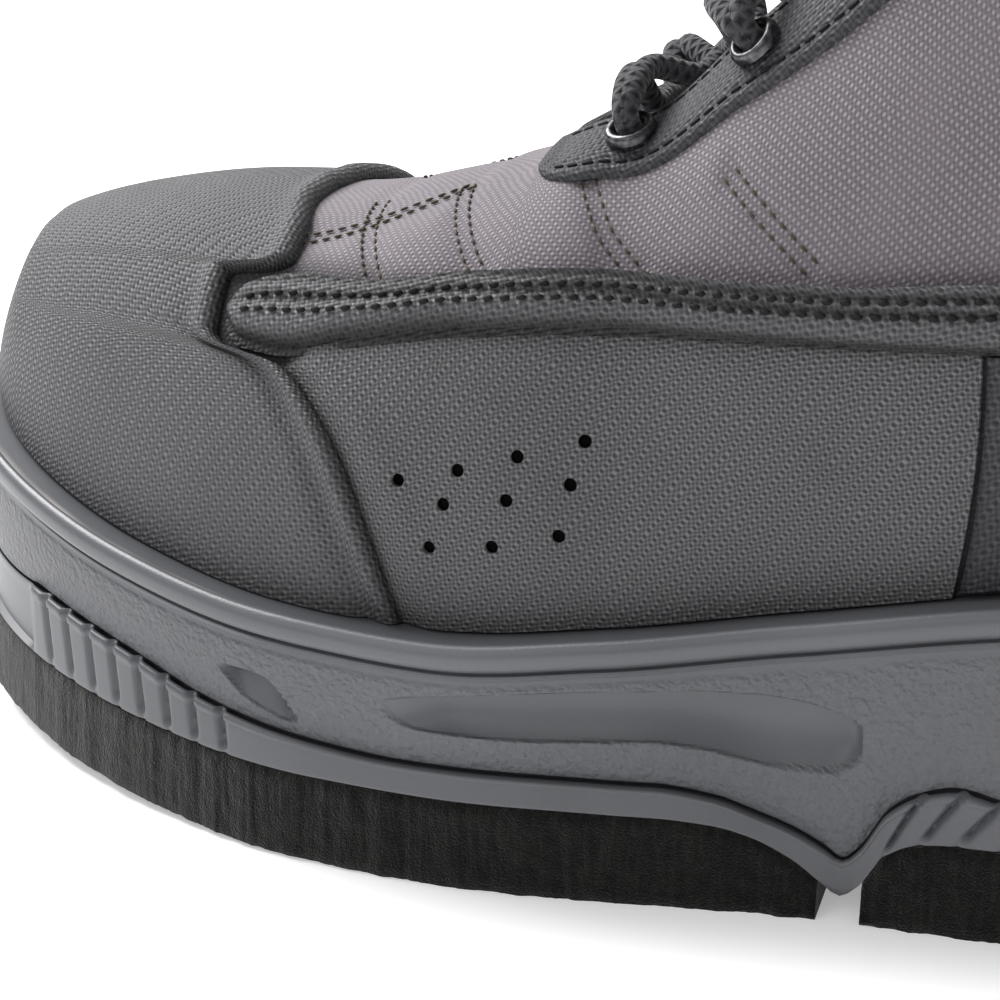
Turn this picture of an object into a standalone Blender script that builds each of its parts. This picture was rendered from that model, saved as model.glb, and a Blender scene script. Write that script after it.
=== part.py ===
"""Wading boot for the left foot, standing on Z = 0 with its toe towards -X and its outer side at -Y.

A hollow canvas upper is lasted over the form of a foot and closed underneath by a moulded midsole,
which sits in a rubber outsole with felt treads.  The form is a fan of sections: each one runs from a
point under or behind the foot to a point on the ridge, and every piece takes its place from it.
"""

import math

import bmesh
import bpy
import numpy as np
from mathutils import Vector

MM = 0.001
GAP = 0.3 * MM
LAYER_GAP = 0.4 * MM
LAYER_EASE = 0.3 * MM
HEEL_EASE = 0.4 * MM

# Sizes of the last. The feather line is where the upper meets the midsole.
LAST_LENGTH = 288 * MM
BALL_HALF = 50 * MM
BALL_HEIGHT = 36 * MM
HEEL_HEIGHT = 52.5 * MM
TOE_LIFT = 16.2 * MM
INSTEP_HEIGHT = 105 * MM
COLLAR_HEIGHT = 213 * MM
HEEL_SHAFT = 144.4 * MM

# Rounding of the last in plan, at the toe of each side and at the heel, and of the toe seen from the side
OUTER, INNER = -1, 1
TOE_RUN = {OUTER: 81 * MM, INNER: 59 * MM}
TOE_POWER = {OUTER: 1.7, INNER: 2.2}
HEEL_RUN = 46 * MM
HEEL_POWER = 2.2
TOE_SWING = 6.2 * MM
HEEL_SWING = -0.8 * MM
NOSE_RUN = 16 * MM
NOSE_POWER = 1.35

# Faces and walls of the upper, counted outwards from the form
CANVAS_FACE = -2.4 * MM
CANVAS_WALL = 2.2 * MM
CAP_FACE = -0.5 * MM
PANEL_FACE = -1.2 * MM
STRIP_FACE = 0.5 * MM
COUNTER_FACE = -1.0 * MM
STAY_FACE = -0.9 * MM
CUFF_FACE = 1.6 * MM
CUFF_EDGE = 0.3 * MM
TONGUE_WALL = 4.5 * MM

# The throat, its stays and the lacing
THROAT_ROW = 4.3
HEEL_BEND_ROW = 9.0
HEEL_ROW = 11.0
CUFF_ROW = 14.7
COLLAR_ROW = 16.0
CAP_NOSE_ROW = 2.0
PANEL_FRONT_ROW = 2.95
TONGUE_ROW = 3.7
TONGUE_TOP_ROW = 17.0
FOOT_ARCH = 0.01
PANEL_FRONT_EASE = 0.1
PANEL_REAR_EASE = 0.03
CAP_EDGE = 0.35
PAD_POWER = 0.6
PAD_EDGE = 0.15
THROAT_HALF = 11 * MM
THROAT_FLARE = 4 * MM
THROAT_ROUNDING = 0.55
STAY_WIDTH = 14 * MM
STAY_END = 0.06
EYELET_INSET = 7 * MM
EYELET_RADIUS = 3.8 * MM
EYELET_HOLE = 2.1 * MM
EYELET_HEIGHT = 1.4 * MM
EYELET_LIFT = 0.8 * MM
LACE_RADIUS = 1.8 * MM
LACE_GAP = 1.1 * MM
LACE_BEND = 1.7
LACE_ACROSS = (1, 0.6, 0.3, 0, -0.3, -0.6, -1)
EYELET_ROWS = (5.1, 6.15, 7.4, 9.1, 11.3, 14.0)

# The sole
SPRING_LIFT = 5.3 * MM
SPRING_RUN = 100 * MM
FELT_THICKNESS = 13 * MM
FELT_FLARE = 1.2 * MM
NOTCH_ALONG = 157 * MM
NOTCH_HALF = 3 * MM
NOTCH_REACH = 18 * MM
TREAD_OUTSET = 5.6 * MM
RIM_WIDTH = 1.7 * MM
RIM_DEPTH = 1.5 * MM
RIM_ROUNDING = 1.2 * MM
RIM_LEAN = 0.4 * MM
RIM_INSIDE = 1.3 * MM
OUTSOLE_FLOOR = 1.8 * MM
OUTSOLE_EDGE = 1.2 * MM
FLOOR_SHARE = 0.6
LIP_OUTSET = 6.2 * MM
LIP_DEPTH = 2.6 * MM
BEAD_RISE = 1.0 * MM
BEAD_WIDTH = 2.4 * MM
BEAD_SEAT = 1.2 * MM
LIP_TAPER = 0.3 * MM
GROOVE_DEPTH = 1.5 * MM
GROOVE_DROP = 0.5 * MM
FINE_RIDGE = 0.5 * MM
RIDGE_DROP = 1.8 * MM
WALL_DROP = 2.4 * MM
FOOT_INSET = 1.9 * MM
RECESS_CLEAR = 1.0 * MM
RECESS_ROUNDING = 0.4 * MM
WALL_TOP_OUTSET = 4.4 * MM
WALL_FOOT_OUTSET = 3.5 * MM
RECESS_DEPTH = 1.9 * MM
INSOLE_INSET = 7.0 * MM
INSOLE_THICKNESS = 3 * MM

# Points across each half section of the upper, and spans of them across its stay
UPPER_STEPS = 10
STAY_STEPS = 3
HALVINGS = 24
SECTION_SAMPLES = 80

# Grids of the smaller pieces, and how often an edge that depends on itself is worked out again
PANEL_SPANS = 10
PANEL_STEPS = 8
STRIP_STEPS = 4
COUNTER_STEPS = 6
EDGE_TURNS = 4

# Ribs of the outsole's rim, on the toe bumper and on the front of the heel unit
RIB_DEPTH = 1.0 * MM
RIB_PITCH = 5.17 * MM
TOE_RIBS = 8
TOE_RIB_START = 30.6 * MM
TOE_RIB_SLANT = 0.14
HEEL_RIBS = 4
HEEL_RIB_START = 164.8 * MM
HEEL_RIB_SLANT = -0.75
RIB_FADE = 8 * MM


def monotone(places, values, at):
    """Values between the rows of a table, by a cubic that never overshoots its rows."""
    step = np.diff(places)
    slope = np.diff(values) / step
    tangent = np.concatenate((slope[:1], np.zeros(len(slope) - 1), slope[-1:]))
    steady = slope[:-1] * slope[1:] > 0
    mean = 2 * slope[:-1] * slope[1:] / np.where(steady, slope[:-1] + slope[1:], 1)
    tangent[1:-1] = np.where(steady, mean, 0)
    at = np.asarray(at, float)
    row = np.clip(np.searchsorted(places, at, side="right") - 1, 0, len(step) - 1)
    t = np.clip((at - places[row]) / step[row], 0, 1)
    start = (1 + 2 * t) * (1 - t) ** 2 * values[row] + t * (1 - t) ** 2 * step[row] * tangent[row]
    end = t * t * (3 - 2 * t) * values[row + 1] - t * t * (1 - t) * step[row] * tangent[row + 1]
    return start + end


class Table:
    """Rows under named columns. The first column says where along the boot each row lies."""

    def __init__(self, columns, *rows):
        self.columns = dict(zip(columns.split(), np.array(rows, float).T))
        self.places = next(iter(self.columns.values()))

    def read(self, column, at):
        return monotone(self.places, self.columns[column], at)


# Half widths of the feather line, as shares of BALL_HALF, and its height, as shares of the rise from
# the ball to the heel and of TOE_LIFT
PLAN = Table(
    "along  outer  inner  heel  toe",
    (0.000, 0.920, 0.850, 0.00, 1.00),
    (0.090, 0.930, 0.865, 0.00, 0.57),
    (0.170, 0.942, 0.880, 0.00, 0.28),
    (0.260, 0.975, 0.930, 0.00, 0.08),
    (0.350, 1.000, 0.980, 0.00, 0.00),
    (0.430, 0.955, 0.975, 0.13, 0.00),
    (0.520, 0.880, 0.870, 0.37, 0.00),
    (0.620, 0.850, 0.780, 0.68, 0.00),
    (0.730, 0.820, 0.750, 0.88, 0.00),
    (0.830, 0.800, 0.760, 0.96, 0.00),
    (1.000, 0.780, 0.760, 1.00, 0.00))

# The fan of sections. sole: foot of the section, a share of LAST_LENGTH. back: its rise up the heel,
# a share of HEEL_SHAFT. ridge: place of its top, a share of LAST_LENGTH. instep and shaft: height of
# its top, shares of INSTEP_HEIGHT and of the rise from there to the collar. waist: half width at its
# middle, a share of BALL_HALF. round: power of its arch.
FAN = Table(
    "row  sole  back   ridge  instep  shaft  waist  round",
    (0.0, 0.000, 0.00, 0.000, 0.734, 0.00, 1.00, 2.5),
    (1.0, 0.087, 0.00, 0.087, 0.813, 0.00, 1.00, 2.5),
    (2.0, 0.174, 0.00, 0.174, 0.850, 0.00, 1.00, 2.5),
    (3.0, 0.260, 0.00, 0.260, 0.860, 0.00, 1.00, 2.5),
    (4.0, 0.340, 0.00, 0.340, 0.912, 0.00, 0.97, 2.5),
    (5.0, 0.424, 0.00, 0.406, 1.000, 0.00, 0.91, 2.4),
    (6.0, 0.514, 0.00, 0.462, 1.000, 0.12, 0.85, 2.3),
    (7.0, 0.608, 0.00, 0.507, 1.000, 0.25, 0.79, 2.2),
    (8.0, 0.708, 0.00, 0.538, 1.000, 0.37, 0.75, 2.2),
    (9.0, 0.812, 0.00, 0.559, 1.000, 0.48, 0.73, 2.2),
    (10.0, 0.917, 0.00, 0.573, 1.000, 0.574, 0.72, 2.2),
    (11.0, 1.000, 0.00, 0.583, 1.000, 0.657, 0.73, 2.2),
    (12.0, 1.000, 0.17, 0.590, 1.000, 0.731, 0.76, 2.2),
    (13.0, 1.000, 0.36, 0.596, 1.000, 0.796, 0.79, 2.2),
    (14.0, 1.000, 0.57, 0.599, 1.000, 0.861, 0.83, 2.2),
    (15.0, 1.000, 0.78, 0.601, 1.000, 0.926, 0.87, 2.2),
    (16.0, 1.000, 1.00, 0.602, 1.000, 1.000, 0.89, 2.2),
    (17.0, 1.000, 1.08, 0.600, 1.000, 1.100, 0.89, 2.2))

# Back of the heel: rise up the heel, a share of HEEL_SHAFT, and reach, a share of LAST_LENGTH
BACK = Table(
    "rise  reach",
    (0.00, 1.000),
    (0.17, 1.012),
    (0.36, 1.003),
    (0.57, 0.983),
    (0.78, 0.970),
    (1.08, 0.977))

# Edge between the toe cap and the side panels: height in the arch and the row it passes. It steps
# forward round the front end of the padded strip.
CAP_SEAM = Table(
    "arch  row",
    (0.000, 3.80),
    (0.240, 3.56),
    (0.420, 3.36),
    (0.570, 3.11),
    (0.645, 2.90),
    (0.668, 2.44),
    (0.850, 2.42),
    (0.900, 2.78),
    (0.975, 2.74),
    (1.000, 2.66))

# The padded strip over the side panels: heights of its edges, as shares of INSTEP_HEIGHT
STRIP = Table(
    "row  low  high",
    (2.50, 0.716, 0.736),
    (2.62, 0.694, 0.764),
    (2.90, 0.690, 0.778),
    (3.40, 0.712, 0.782),
    (4.10, 0.734, 0.804),
    (4.90, 0.744, 0.818),
    (5.70, 0.744, 0.816),
    (6.50, 0.745, 0.818),
    (7.40, 0.750, 0.832),
    (9.00, 0.770, 0.850),
    (11.0, 0.800, 0.880),
    (13.0, 0.810, 0.890))

# Where the side panels end and the heel counter starts: height in the arch and the row it passes
COUNTER_SEAM = Table(
    "arch  row",
    (0.00, 6.81),
    (0.15, 7.02),
    (0.29, 7.20),
    (0.50, 7.45))

# Underside of the outsole and top of its rim, as shares of FELT_THICKNESS, over the floor or the
# toe's spring. step: how far the rim stands out, a share of RIM_WIDTH
TREAD = Table(
    "along  under  rim  step",
    (0.000, 1.00, 1.72, 0.25),
    (0.060, 1.00, 1.80, 0.25),
    (0.085, 1.00, 1.86, 0.30),
    (0.093, 1.00, 1.90, 1.00),
    (0.138, 1.00, 1.84, 1.00),
    (0.170, 1.00, 1.76, 1.00),
    (0.217, 1.00, 1.56, 1.00),
    (0.268, 1.00, 1.42, 1.00),
    (0.330, 1.00, 1.34, 1.00),
    (0.455, 1.00, 1.34, 1.00),
    (0.484, 0.95, 1.25, 1.00),
    (0.502, 0.85, 1.11, 1.00),
    (0.523, 0.62, 0.93, 1.00),
    (0.537, 0.38, 0.76, 0.90),
    (0.545, 0.26, 0.64, 0.60),
    (0.553, 0.38, 0.80, 0.90),
    (0.566, 0.80, 1.28, 1.00),
    (0.580, 0.96, 1.50, 1.00),
    (0.597, 1.00, 1.60, 1.00),
    (0.618, 1.00, 1.50, 1.00),
    (0.645, 1.00, 1.38, 1.00),
    (0.700, 1.00, 1.34, 1.00),
    (1.000, 1.00, 1.34, 1.00))

# The two recesses in each side of the midsole: depth is a share of RECESS_DEPTH, top and foot are
# shares of FELT_THICKNESS over the floor
RECESS = Table(
    "along  depth  top  foot",
    (0.000, 0.00, 2.75, 2.40),
    (0.150, 0.00, 2.40, 2.10),
    (0.228, 0.00, 2.15, 2.04),
    (0.240, 0.75, 2.14, 1.82),
    (0.257, 0.85, 2.12, 1.65),
    (0.272, 0.00, 1.72, 1.60),
    (0.300, 0.00, 1.98, 1.88),
    (0.316, 0.00, 2.08, 2.02),
    (0.330, 0.75, 2.18, 1.78),
    (0.380, 1.00, 2.30, 1.75),
    (0.430, 1.00, 2.42, 1.84),
    (0.480, 1.00, 2.50, 1.80),
    (0.520, 1.00, 2.48, 1.68),
    (0.543, 0.90, 2.36, 1.66),
    (0.553, 0.00, 2.16, 2.00),
    (0.600, 0.00, 2.60, 2.20),
    (1.000, 0.00, 3.00, 2.40))


def rounded(distance, run, power):
    """Share of the full width or height that is reached this far inside a rounded end."""
    inside = np.clip(distance / run, 0, 1)
    return (1 - (1 - inside) ** power) ** (1 / power)


def feather_height(x):
    """Height of the line where the upper meets the midsole."""
    along = np.asarray(x) / LAST_LENGTH
    rise = HEEL_HEIGHT - BALL_HEIGHT
    return BALL_HEIGHT + rise * PLAN.read("heel", along) + TOE_LIFT * PLAN.read("toe", along)


def plan_line(x, foot, side, outset):
    """Distance of one side's outline from the middle, at x, for a section whose foot is given."""
    column = "outer" if side == OUTER else "inner"
    half = BALL_HALF * PLAN.read(column, foot / LAST_LENGTH) + outset
    swing = np.where(x < LAST_LENGTH / 2, TOE_SWING, HEEL_SWING)
    toe = rounded(x + outset, TOE_RUN[side] + outset, TOE_POWER[side])
    return swing + side * (half - side * swing) * toe


def stretched(x, outset):
    """A place along the last, moved as its two ends move when the outline grows by the outset."""
    toe = np.clip(1 - x / TOE_RUN[OUTER], 0, 1)
    heel = np.clip((x - LAST_LENGTH + HEEL_RUN) / HEEL_RUN, 0, 1)
    return x + outset * (heel - toe)


def outline(x, side, outset):
    """Points of the feather line's plan, grown by the outset."""
    place = stretched(x, outset)
    line = plan_line(place, x, side, outset)
    heel = rounded(LAST_LENGTH + outset - place, HEEL_RUN + outset, HEEL_POWER)
    middle = np.where(place < LAST_LENGTH / 2, line, HEEL_SWING)
    return place, middle + (line - middle) * heel


def sole_middle():
    """Middle of the widest outline of the sole, which is put over the origin."""
    x = np.linspace(0, LAST_LENGTH, 400)
    reach = TREAD_OUTSET + FELT_FLARE
    near = outline(x, OUTER, reach)[1].min()
    far = outline(x, INNER, reach)[1].max()
    return LAST_LENGTH / 2, (near + far) / 2


MIDDLE_X, MIDDLE_Y = sole_middle()


def ridge_point(row, outset):
    """Top of a section, moved square to the ridge by the outset."""
    def at(place):
        shaft = COLLAR_HEIGHT - INSTEP_HEIGHT
        height = INSTEP_HEIGHT * FAN.read("instep", place) + shaft * FAN.read("shaft", place)
        return LAST_LENGTH * FAN.read("ridge", place), height
    step = 0.05
    before = at(np.maximum(row - step, 0))
    after = at(np.minimum(row + step, TONGUE_TOP_ROW))
    run, rise = after[0] - before[0], after[1] - before[1]
    length = np.hypot(run, rise)
    x, z = at(row)
    vertical = row < 1
    x = x - np.where(vertical, 0, outset * rise / length)
    z = z + np.where(vertical, outset, outset * run / length)
    return x, z


def form_point(row, arch, side, outset):
    """A point of the form: arch is 0 at the foot of the section and 1 at its top."""
    row, arch = np.broadcast_arrays(np.asarray(row, float), np.asarray(arch, float))
    foot = LAST_LENGTH * FAN.read("sole", row)
    up = FAN.read("back", row)
    on_heel = up > 0
    foot_x = np.where(on_heel, LAST_LENGTH * BACK.read("reach", up) + outset, stretched(foot, outset))
    foot_z = feather_height(foot) + GAP + HEEL_SHAFT * up
    top_x, top_z = ridge_point(row, outset)
    top_x = np.where(row < 1, foot_x, top_x)
    nose = rounded(foot_x + outset, NOSE_RUN + outset, NOSE_POWER)
    x = foot_x + arch * (top_x - foot_x)
    z = foot_z + arch * (top_z - foot_z) * nose
    near = plan_line(foot_x, foot, OUTER, outset)
    far = plan_line(foot_x, foot, INNER, outset)
    middle, half = (near + far) / 2, (far - near) / 2
    rise = np.clip(2 * arch, 0, 1)
    blend = rise * rise * (3 - 2 * rise) * np.clip(row - 3, 0, 1)
    half = half + blend * (BALL_HALF * FAN.read("waist", row) + outset - half)
    power = FAN.read("round", row)
    above = np.clip((z - HEEL_HEIGHT - GAP) / HEEL_SHAFT, 0, None)
    back = LAST_LENGTH * BACK.read("reach", above) + outset
    half = half * (1 - arch ** power) ** (1 / power) * rounded(back - x, HEEL_RUN + outset, HEEL_POWER)
    return np.stack((x - MIDDLE_X, middle + side * half - MIDDLE_Y, z), axis=-1)


def heel_blend(row):
    """How far a section has turned from the arch of the foot to the round of the heel."""
    return np.clip((np.asarray(row, float) - HEEL_BEND_ROW) / (HEEL_ROW + 0.5 - HEEL_BEND_ROW), 0, 1)


def arches_between(low, high, steps, row):
    """Arch shares between two edges, crowded towards the foot of a section behind the heel."""
    power = 1 + (HEEL_POWER - 1) * heel_blend(row)
    share = np.linspace(0, 1, steps)
    return (low ** (1 / power) * (1 - share) + high ** (1 / power) * share) ** power


def arch_spread(steps, row):
    """Arch heights that crowd where the section is most rounded."""
    share = np.linspace(0, 1, steps)
    front = np.sin(share * math.pi / 2) ** 0.8
    blend = heel_blend(row)
    return front * (1 - blend) + share ** 2 * blend


def arch_at_height(row, height, outset=0.0):
    """Arch share at which a section reaches a height over the floor."""
    low = form_point(row, 0.0, OUTER, outset)[..., 2]
    high = form_point(row, 1.0, OUTER, outset)[..., 2]
    return np.clip((height - low) / (high - low), 0, 1)


def heel_row_at(column, clearance):
    """The section whose foot, on the back of the heel, meets an edge of the strip."""
    low, high = HEEL_ROW, COLLAR_ROW
    for _ in range(HALVINGS):
        middle = (low + high) / 2
        edge = INSTEP_HEIGHT * STRIP.read(column, middle) - clearance
        if form_point(middle, 0.0, OUTER, 0.0)[2] < edge:
            low = middle
        else:
            high = middle
    return low


def arch_beside_ridge(row, distance, outset):
    """Arch share at which a section is this far from the middle plane of the throat."""
    row, distance = np.broadcast_arrays(np.asarray(row, float), distance)
    low, high = np.full(row.shape, 0.5), np.ones(row.shape)
    for _ in range(HALVINGS):
        middle = (low + high) / 2
        far = form_point(row, middle, INNER, outset)[..., 1]
        near = form_point(row, middle, OUTER, outset)[..., 1]
        wide = far - near > 2 * distance
        low, high = np.where(wide, middle, low), np.where(wide, high, middle)
    return high


def throat_half(row):
    """Half width of the throat, which opens in a round end and widens to the collar."""
    opened = min(max((row - THROAT_ROW) / THROAT_ROUNDING, 0), 1)
    flare = THROAT_FLARE * max(row - THROAT_ROW, 0) / (COLLAR_ROW - THROAT_ROW)
    return THROAT_HALF * math.sqrt(opened * (2 - opened)) + flare


def arches_down(row, lengths):
    """Arch shares at these lengths down a section from the edge of the throat."""
    edge = arch_beside_ridge(row, throat_half(row), CANVAS_FACE)
    share = np.linspace(edge, 0.2, SECTION_SAMPLES)
    points = form_point(row, share, OUTER, CANVAS_FACE)
    run = np.concatenate(([0], np.cumsum(np.linalg.norm(np.diff(points, axis=0), axis=1))))
    return np.interp(lengths, run, share)


def material(name, colour, roughness, metallic=0.0):
    made = bpy.data.materials.new(name)
    made.use_nodes = True
    shader = made.node_tree.nodes["Principled BSDF"]
    shader.inputs["Base Color"].default_value = (*colour, 1)
    shader.inputs["Roughness"].default_value = roughness
    shader.inputs["Metallic"].default_value = metallic
    made.diffuse_color = (*colour, 1)
    return made


def add_object(name, mesh, finish):
    mesh.materials.append(finish)
    piece = bpy.data.objects.new(name, mesh)
    BOOT.objects.link(piece)
    return piece


def grid_faces(first, rows, columns):
    """Faces of a grid counted row by row from its first point, each split along the same diagonal."""
    faces = []
    for i in range(rows - 1):
        for j in range(columns - 1):
            corner = first + i * columns + j
            across = corner + columns + 1
            faces.append((corner, corner + 1, across))
            faces.append((corner, across, corner + columns))
    return faces


def add_shell(name, patches, finish):
    """A wall between two faces. Each patch holds the outer and the inner points of one grid."""
    outer, inner, faces = [], [], []
    for outer_grid, inner_grid, flip in patches:
        rows, columns = outer_grid.shape[:2]
        patch = grid_faces(len(outer), rows, columns)
        faces += [face[::-1] for face in patch] if flip else patch
        outer += [tuple(point) for point in outer_grid.reshape(-1, 3)]
        inner += [tuple(point) for point in inner_grid.reshape(-1, 3)]
    seen, merged = {}, []
    for point in outer:
        key = tuple(round(value / (0.01 * MM)) for value in point)
        merged.append(seen.setdefault(key, len(merged)))
    edges = {}
    solid = []
    shift = len(outer)
    for face in faces:
        corners = []
        for corner in face:
            if merged[corner] not in corners:
                corners.append(merged[corner])
        if len(corners) < 3:
            continue
        solid.append(corners)
        solid.append([corner + shift for corner in reversed(corners)])
        for a, b in zip(corners, corners[1:] + corners[:1]):
            edges[(a, b)] = edges.get((a, b), 0) + 1
    for a, b in edges:
        if (b, a) not in edges:
            solid.append([b, a, a + shift, b + shift])
    return finish_mesh(name, outer + inner, solid, finish)


def finish_mesh(name, points, faces, finish):
    mesh = bpy.data.meshes.new(name)
    mesh.from_pydata([tuple(float(value) for value in point) for point in points], [], faces)
    work = bmesh.new()
    work.from_mesh(mesh)
    bmesh.ops.delete(work, geom=[point for point in work.verts if not point.link_faces], context="VERTS")
    bmesh.ops.remove_doubles(work, verts=work.verts, dist=0.01 * MM)
    bmesh.ops.recalc_face_normals(work, faces=work.faces)
    work.to_mesh(mesh)
    work.free()
    mesh.shade_smooth()
    mesh.set_sharp_from_angle(angle=math.radians(35))
    return add_object(name, mesh, finish)


def form_grid(rows, arches, side, outset):
    """A grid over the form. arches holds the arch shares of each row, outset may vary with them."""
    return form_point(np.array(rows)[:, None], np.array(arches), side, outset)


def crowded_rows(start, end, steps):
    """Rows that come closer together towards the end, as the rounding of the heel turns."""
    return end - (end - start) * np.linspace(1, 0, steps) ** HEEL_POWER


def upper_rows():
    toe = np.linspace(0, 1, 7)[:-1] ** 1.8
    vamp = np.linspace(1, THROAT_ROW, 7)[:-1]
    bend = THROAT_ROW + THROAT_ROUNDING * np.array((0, 0.12, 0.4, 1))
    opened = THROAT_ROW + THROAT_ROUNDING
    instep = opened + (HEEL_BEND_ROW - opened) * np.linspace(0, 1, 8)[1:] ** 1.25
    heel = crowded_rows(HEEL_BEND_ROW, HEEL_ROW, 5)[1:]
    shaft = np.linspace(HEEL_ROW, CUFF_ROW, 5)[1:]
    collar = np.linspace(CUFF_ROW, COLLAR_ROW, 4)[1:]
    return np.concatenate((toe, vamp, bend, instep, heel, shaft, collar))


def upper_arches(row):
    """Arch heights of the upper's points at a row: up to the stay, then across it to the throat."""
    stay = arches_down(row, STAY_WIDTH * np.linspace(1, 0, STAY_STEPS + 1))
    below = arch_spread(UPPER_STEPS - STAY_STEPS, row)[:-1] * stay[0]
    blend = np.clip(row - 2, 0, 1)
    return arch_spread(UPPER_STEPS, row) * (1 - blend) + np.concatenate((below, stay)) * blend


def make_upper(finish):
    """The hollow canvas upper, open underneath, down the throat and at the collar."""
    rows = upper_rows()
    arches = [upper_arches(row) for row in rows]
    patches = []
    for side in (OUTER, INNER):
        outer = form_grid(rows, arches, side, CANVAS_FACE)
        inner = form_grid(rows, arches, side, CANVAS_FACE - CANVAS_WALL)
        patches.append((outer, inner, side == INNER))
    return add_shell("upper", patches, finish)


def under_overlay(row):
    """Inner face of an overlay, which stands off more round the heel, where its flat spans cut the curve."""
    return CANVAS_FACE + LAYER_GAP + HEEL_EASE * np.clip(np.asarray(row, float) - HEEL_BEND_ROW + 0.5, 0, 1)


def make_toe_cap(finish):
    """The toe cap over the whole arch, with the upper's own rows over the nose and then out to its seam."""
    nose = upper_rows()
    nose = nose[nose <= CAP_NOSE_ROW]
    rest = np.array((0.35, 0.7, 0.92, 1))
    share = np.concatenate((np.zeros(len(nose)), rest))[:, None]
    start = np.concatenate((nose, np.full(len(rest), nose[-1])))[:, None]
    seam_arch = np.interp(np.linspace(0, 1, UPPER_STEPS), np.linspace(0, 1, len(CAP_SEAM.places)),
                          CAP_SEAM.places)
    rows = start * (1 - share) + CAP_SEAM.read("row", seam_arch) * share
    arches = arch_spread(UPPER_STEPS, 0) * (1 - share) + seam_arch * share
    inner_face = CANVAS_FACE + LAYER_GAP + LAYER_EASE * np.clip(3 * share, 0, 1)
    edge = np.clip((1 - share) * 8, 0, 1) ** 0.5
    face = np.broadcast_to(inner_face + (CAP_FACE - inner_face) * (CAP_EDGE + (1 - CAP_EDGE) * edge), rows.shape)
    inner_face = np.broadcast_to(inner_face, rows.shape)
    patches = []
    for side in (OUTER, INNER):
        outer = form_point(rows, arches, side, face)
        patches.append((outer, form_point(rows, arches, side, inner_face), side == INNER))
    return add_shell("toe_cap", patches, finish)


def make_side_panel(name, side, finish):
    """The side panel, from the toe cap's seam to the heel counter, under the padded strip."""
    along = np.linspace(0, 1, PANEL_SPANS + 1)
    up = np.linspace(0, 1, PANEL_STEPS)
    rows = np.zeros((len(along), len(up)))
    arches = np.zeros((len(along), len(up)))
    for i, share in enumerate(along):
        arch = FOOT_ARCH + 0.65 * up
        for _ in range(EDGE_TURNS):
            front = np.maximum(CAP_SEAM.read("row", arch), PANEL_FRONT_ROW) + PANEL_FRONT_EASE
            rear = COUNTER_SEAM.read("row", arch) - PANEL_REAR_EASE
            row = front * (1 - share) + rear * share
            top = arch_at_height(row, INSTEP_HEIGHT * STRIP.read("low", row) - GAP)
            arch = FOOT_ARCH + (top[-1] - FOOT_ARCH) * up
        rows[i], arches[i] = row, arch
    outer = form_point(rows, arches, side, PANEL_FACE)
    inner = form_point(rows, arches, side, under_overlay(rows) + LAYER_EASE)
    return add_shell(name, [(outer, inner, side == INNER)], finish)


def make_strip(finish):
    """The padded strip along the tops of the side panels, round the heel from toe cap to toe cap."""
    rows = np.concatenate(((2.5, 2.56, 2.65, 2.8), np.linspace(3, HEEL_BEND_ROW, 11),
                           np.linspace(HEEL_BEND_ROW, HEEL_ROW, 5)[1:],
                           crowded_rows(HEEL_ROW, heel_row_at("high", 0.0), 8)[1:]))
    low_edge = INSTEP_HEIGHT * STRIP.read("low", rows)
    high_edge = INSTEP_HEIGHT * STRIP.read("high", rows)
    arches = np.array([arches_between(low, high, STRIP_STEPS, row) for low, high, row in
                       zip(arch_at_height(rows, low_edge), arch_at_height(rows, high_edge), rows)])
    back = under_overlay(rows)[:, None]
    patches = []
    for side in (OUTER, INNER):
        inner = form_grid(rows, arches, side, np.broadcast_to(back, arches.shape))
        share = (inner[..., 2] - low_edge[:, None]) / (high_edge - low_edge)[:, None]
        swell = np.sin(np.clip(share, 0, 1) * math.pi) ** PAD_POWER
        face = back + (STRIP_FACE - back) * (PAD_EDGE + (1 - PAD_EDGE) * swell)
        patches.append((form_grid(rows, arches, side, face), inner, side == INNER))
    return add_shell("padded_strip", patches, finish)


def make_counter(finish):
    """The heel counter, round the back of the heel under the padded strip."""
    patches = []
    seam_row = COUNTER_SEAM.read("row", 0.0)
    front = np.linspace(seam_row, HEEL_BEND_ROW, 4)[:-1]
    top_row = heel_row_at("low", GAP)
    places = np.concatenate((front, crowded_rows(HEEL_BEND_ROW, HEEL_ROW, 8),
                             crowded_rows(HEEL_ROW, top_row, 7)[1:]))
    for side in (OUTER, INNER):
        rows = np.zeros((len(places), COUNTER_STEPS))
        arches = np.zeros((len(places), COUNTER_STEPS))
        for i, place in enumerate(places):
            shift = np.clip((HEEL_BEND_ROW - place) / (HEEL_BEND_ROW - seam_row), 0, 1)
            row = np.full(COUNTER_STEPS, place)
            for _ in range(EDGE_TURNS):
                top = arch_at_height(row, INSTEP_HEIGHT * STRIP.read("low", row) - GAP)
                low = FOOT_ARCH * np.clip((HEEL_ROW - row) / 2, 0, 1)
                arch = arches_between(low, top, COUNTER_STEPS, place)
                row = place + shift * (COUNTER_SEAM.read("row", arch) - seam_row)
            rows[i], arches[i] = row, arch
        outer = form_point(rows, arches, side, COUNTER_FACE)
        inner = form_point(rows, arches, side, under_overlay(rows))
        patches.append((outer, inner, side == INNER))
    return add_shell("heel_counter", patches, finish)


def make_stay(name, side, finish):
    """The eyestay beside the throat, which carries the eyelets."""
    rows = upper_rows()
    rows = [*rows[(rows > THROAT_ROW) & (rows < CUFF_ROW)], CUFF_ROW - STAY_END]
    arches = [upper_arches(row)[-STAY_STEPS - 1:] for row in rows]
    outer = form_grid(rows, arches, side, STAY_FACE)
    inner = form_grid(rows, arches, side, CANVAS_FACE + LAYER_GAP)
    return add_shell(name, [(outer, inner, side == INNER)], finish)


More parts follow.
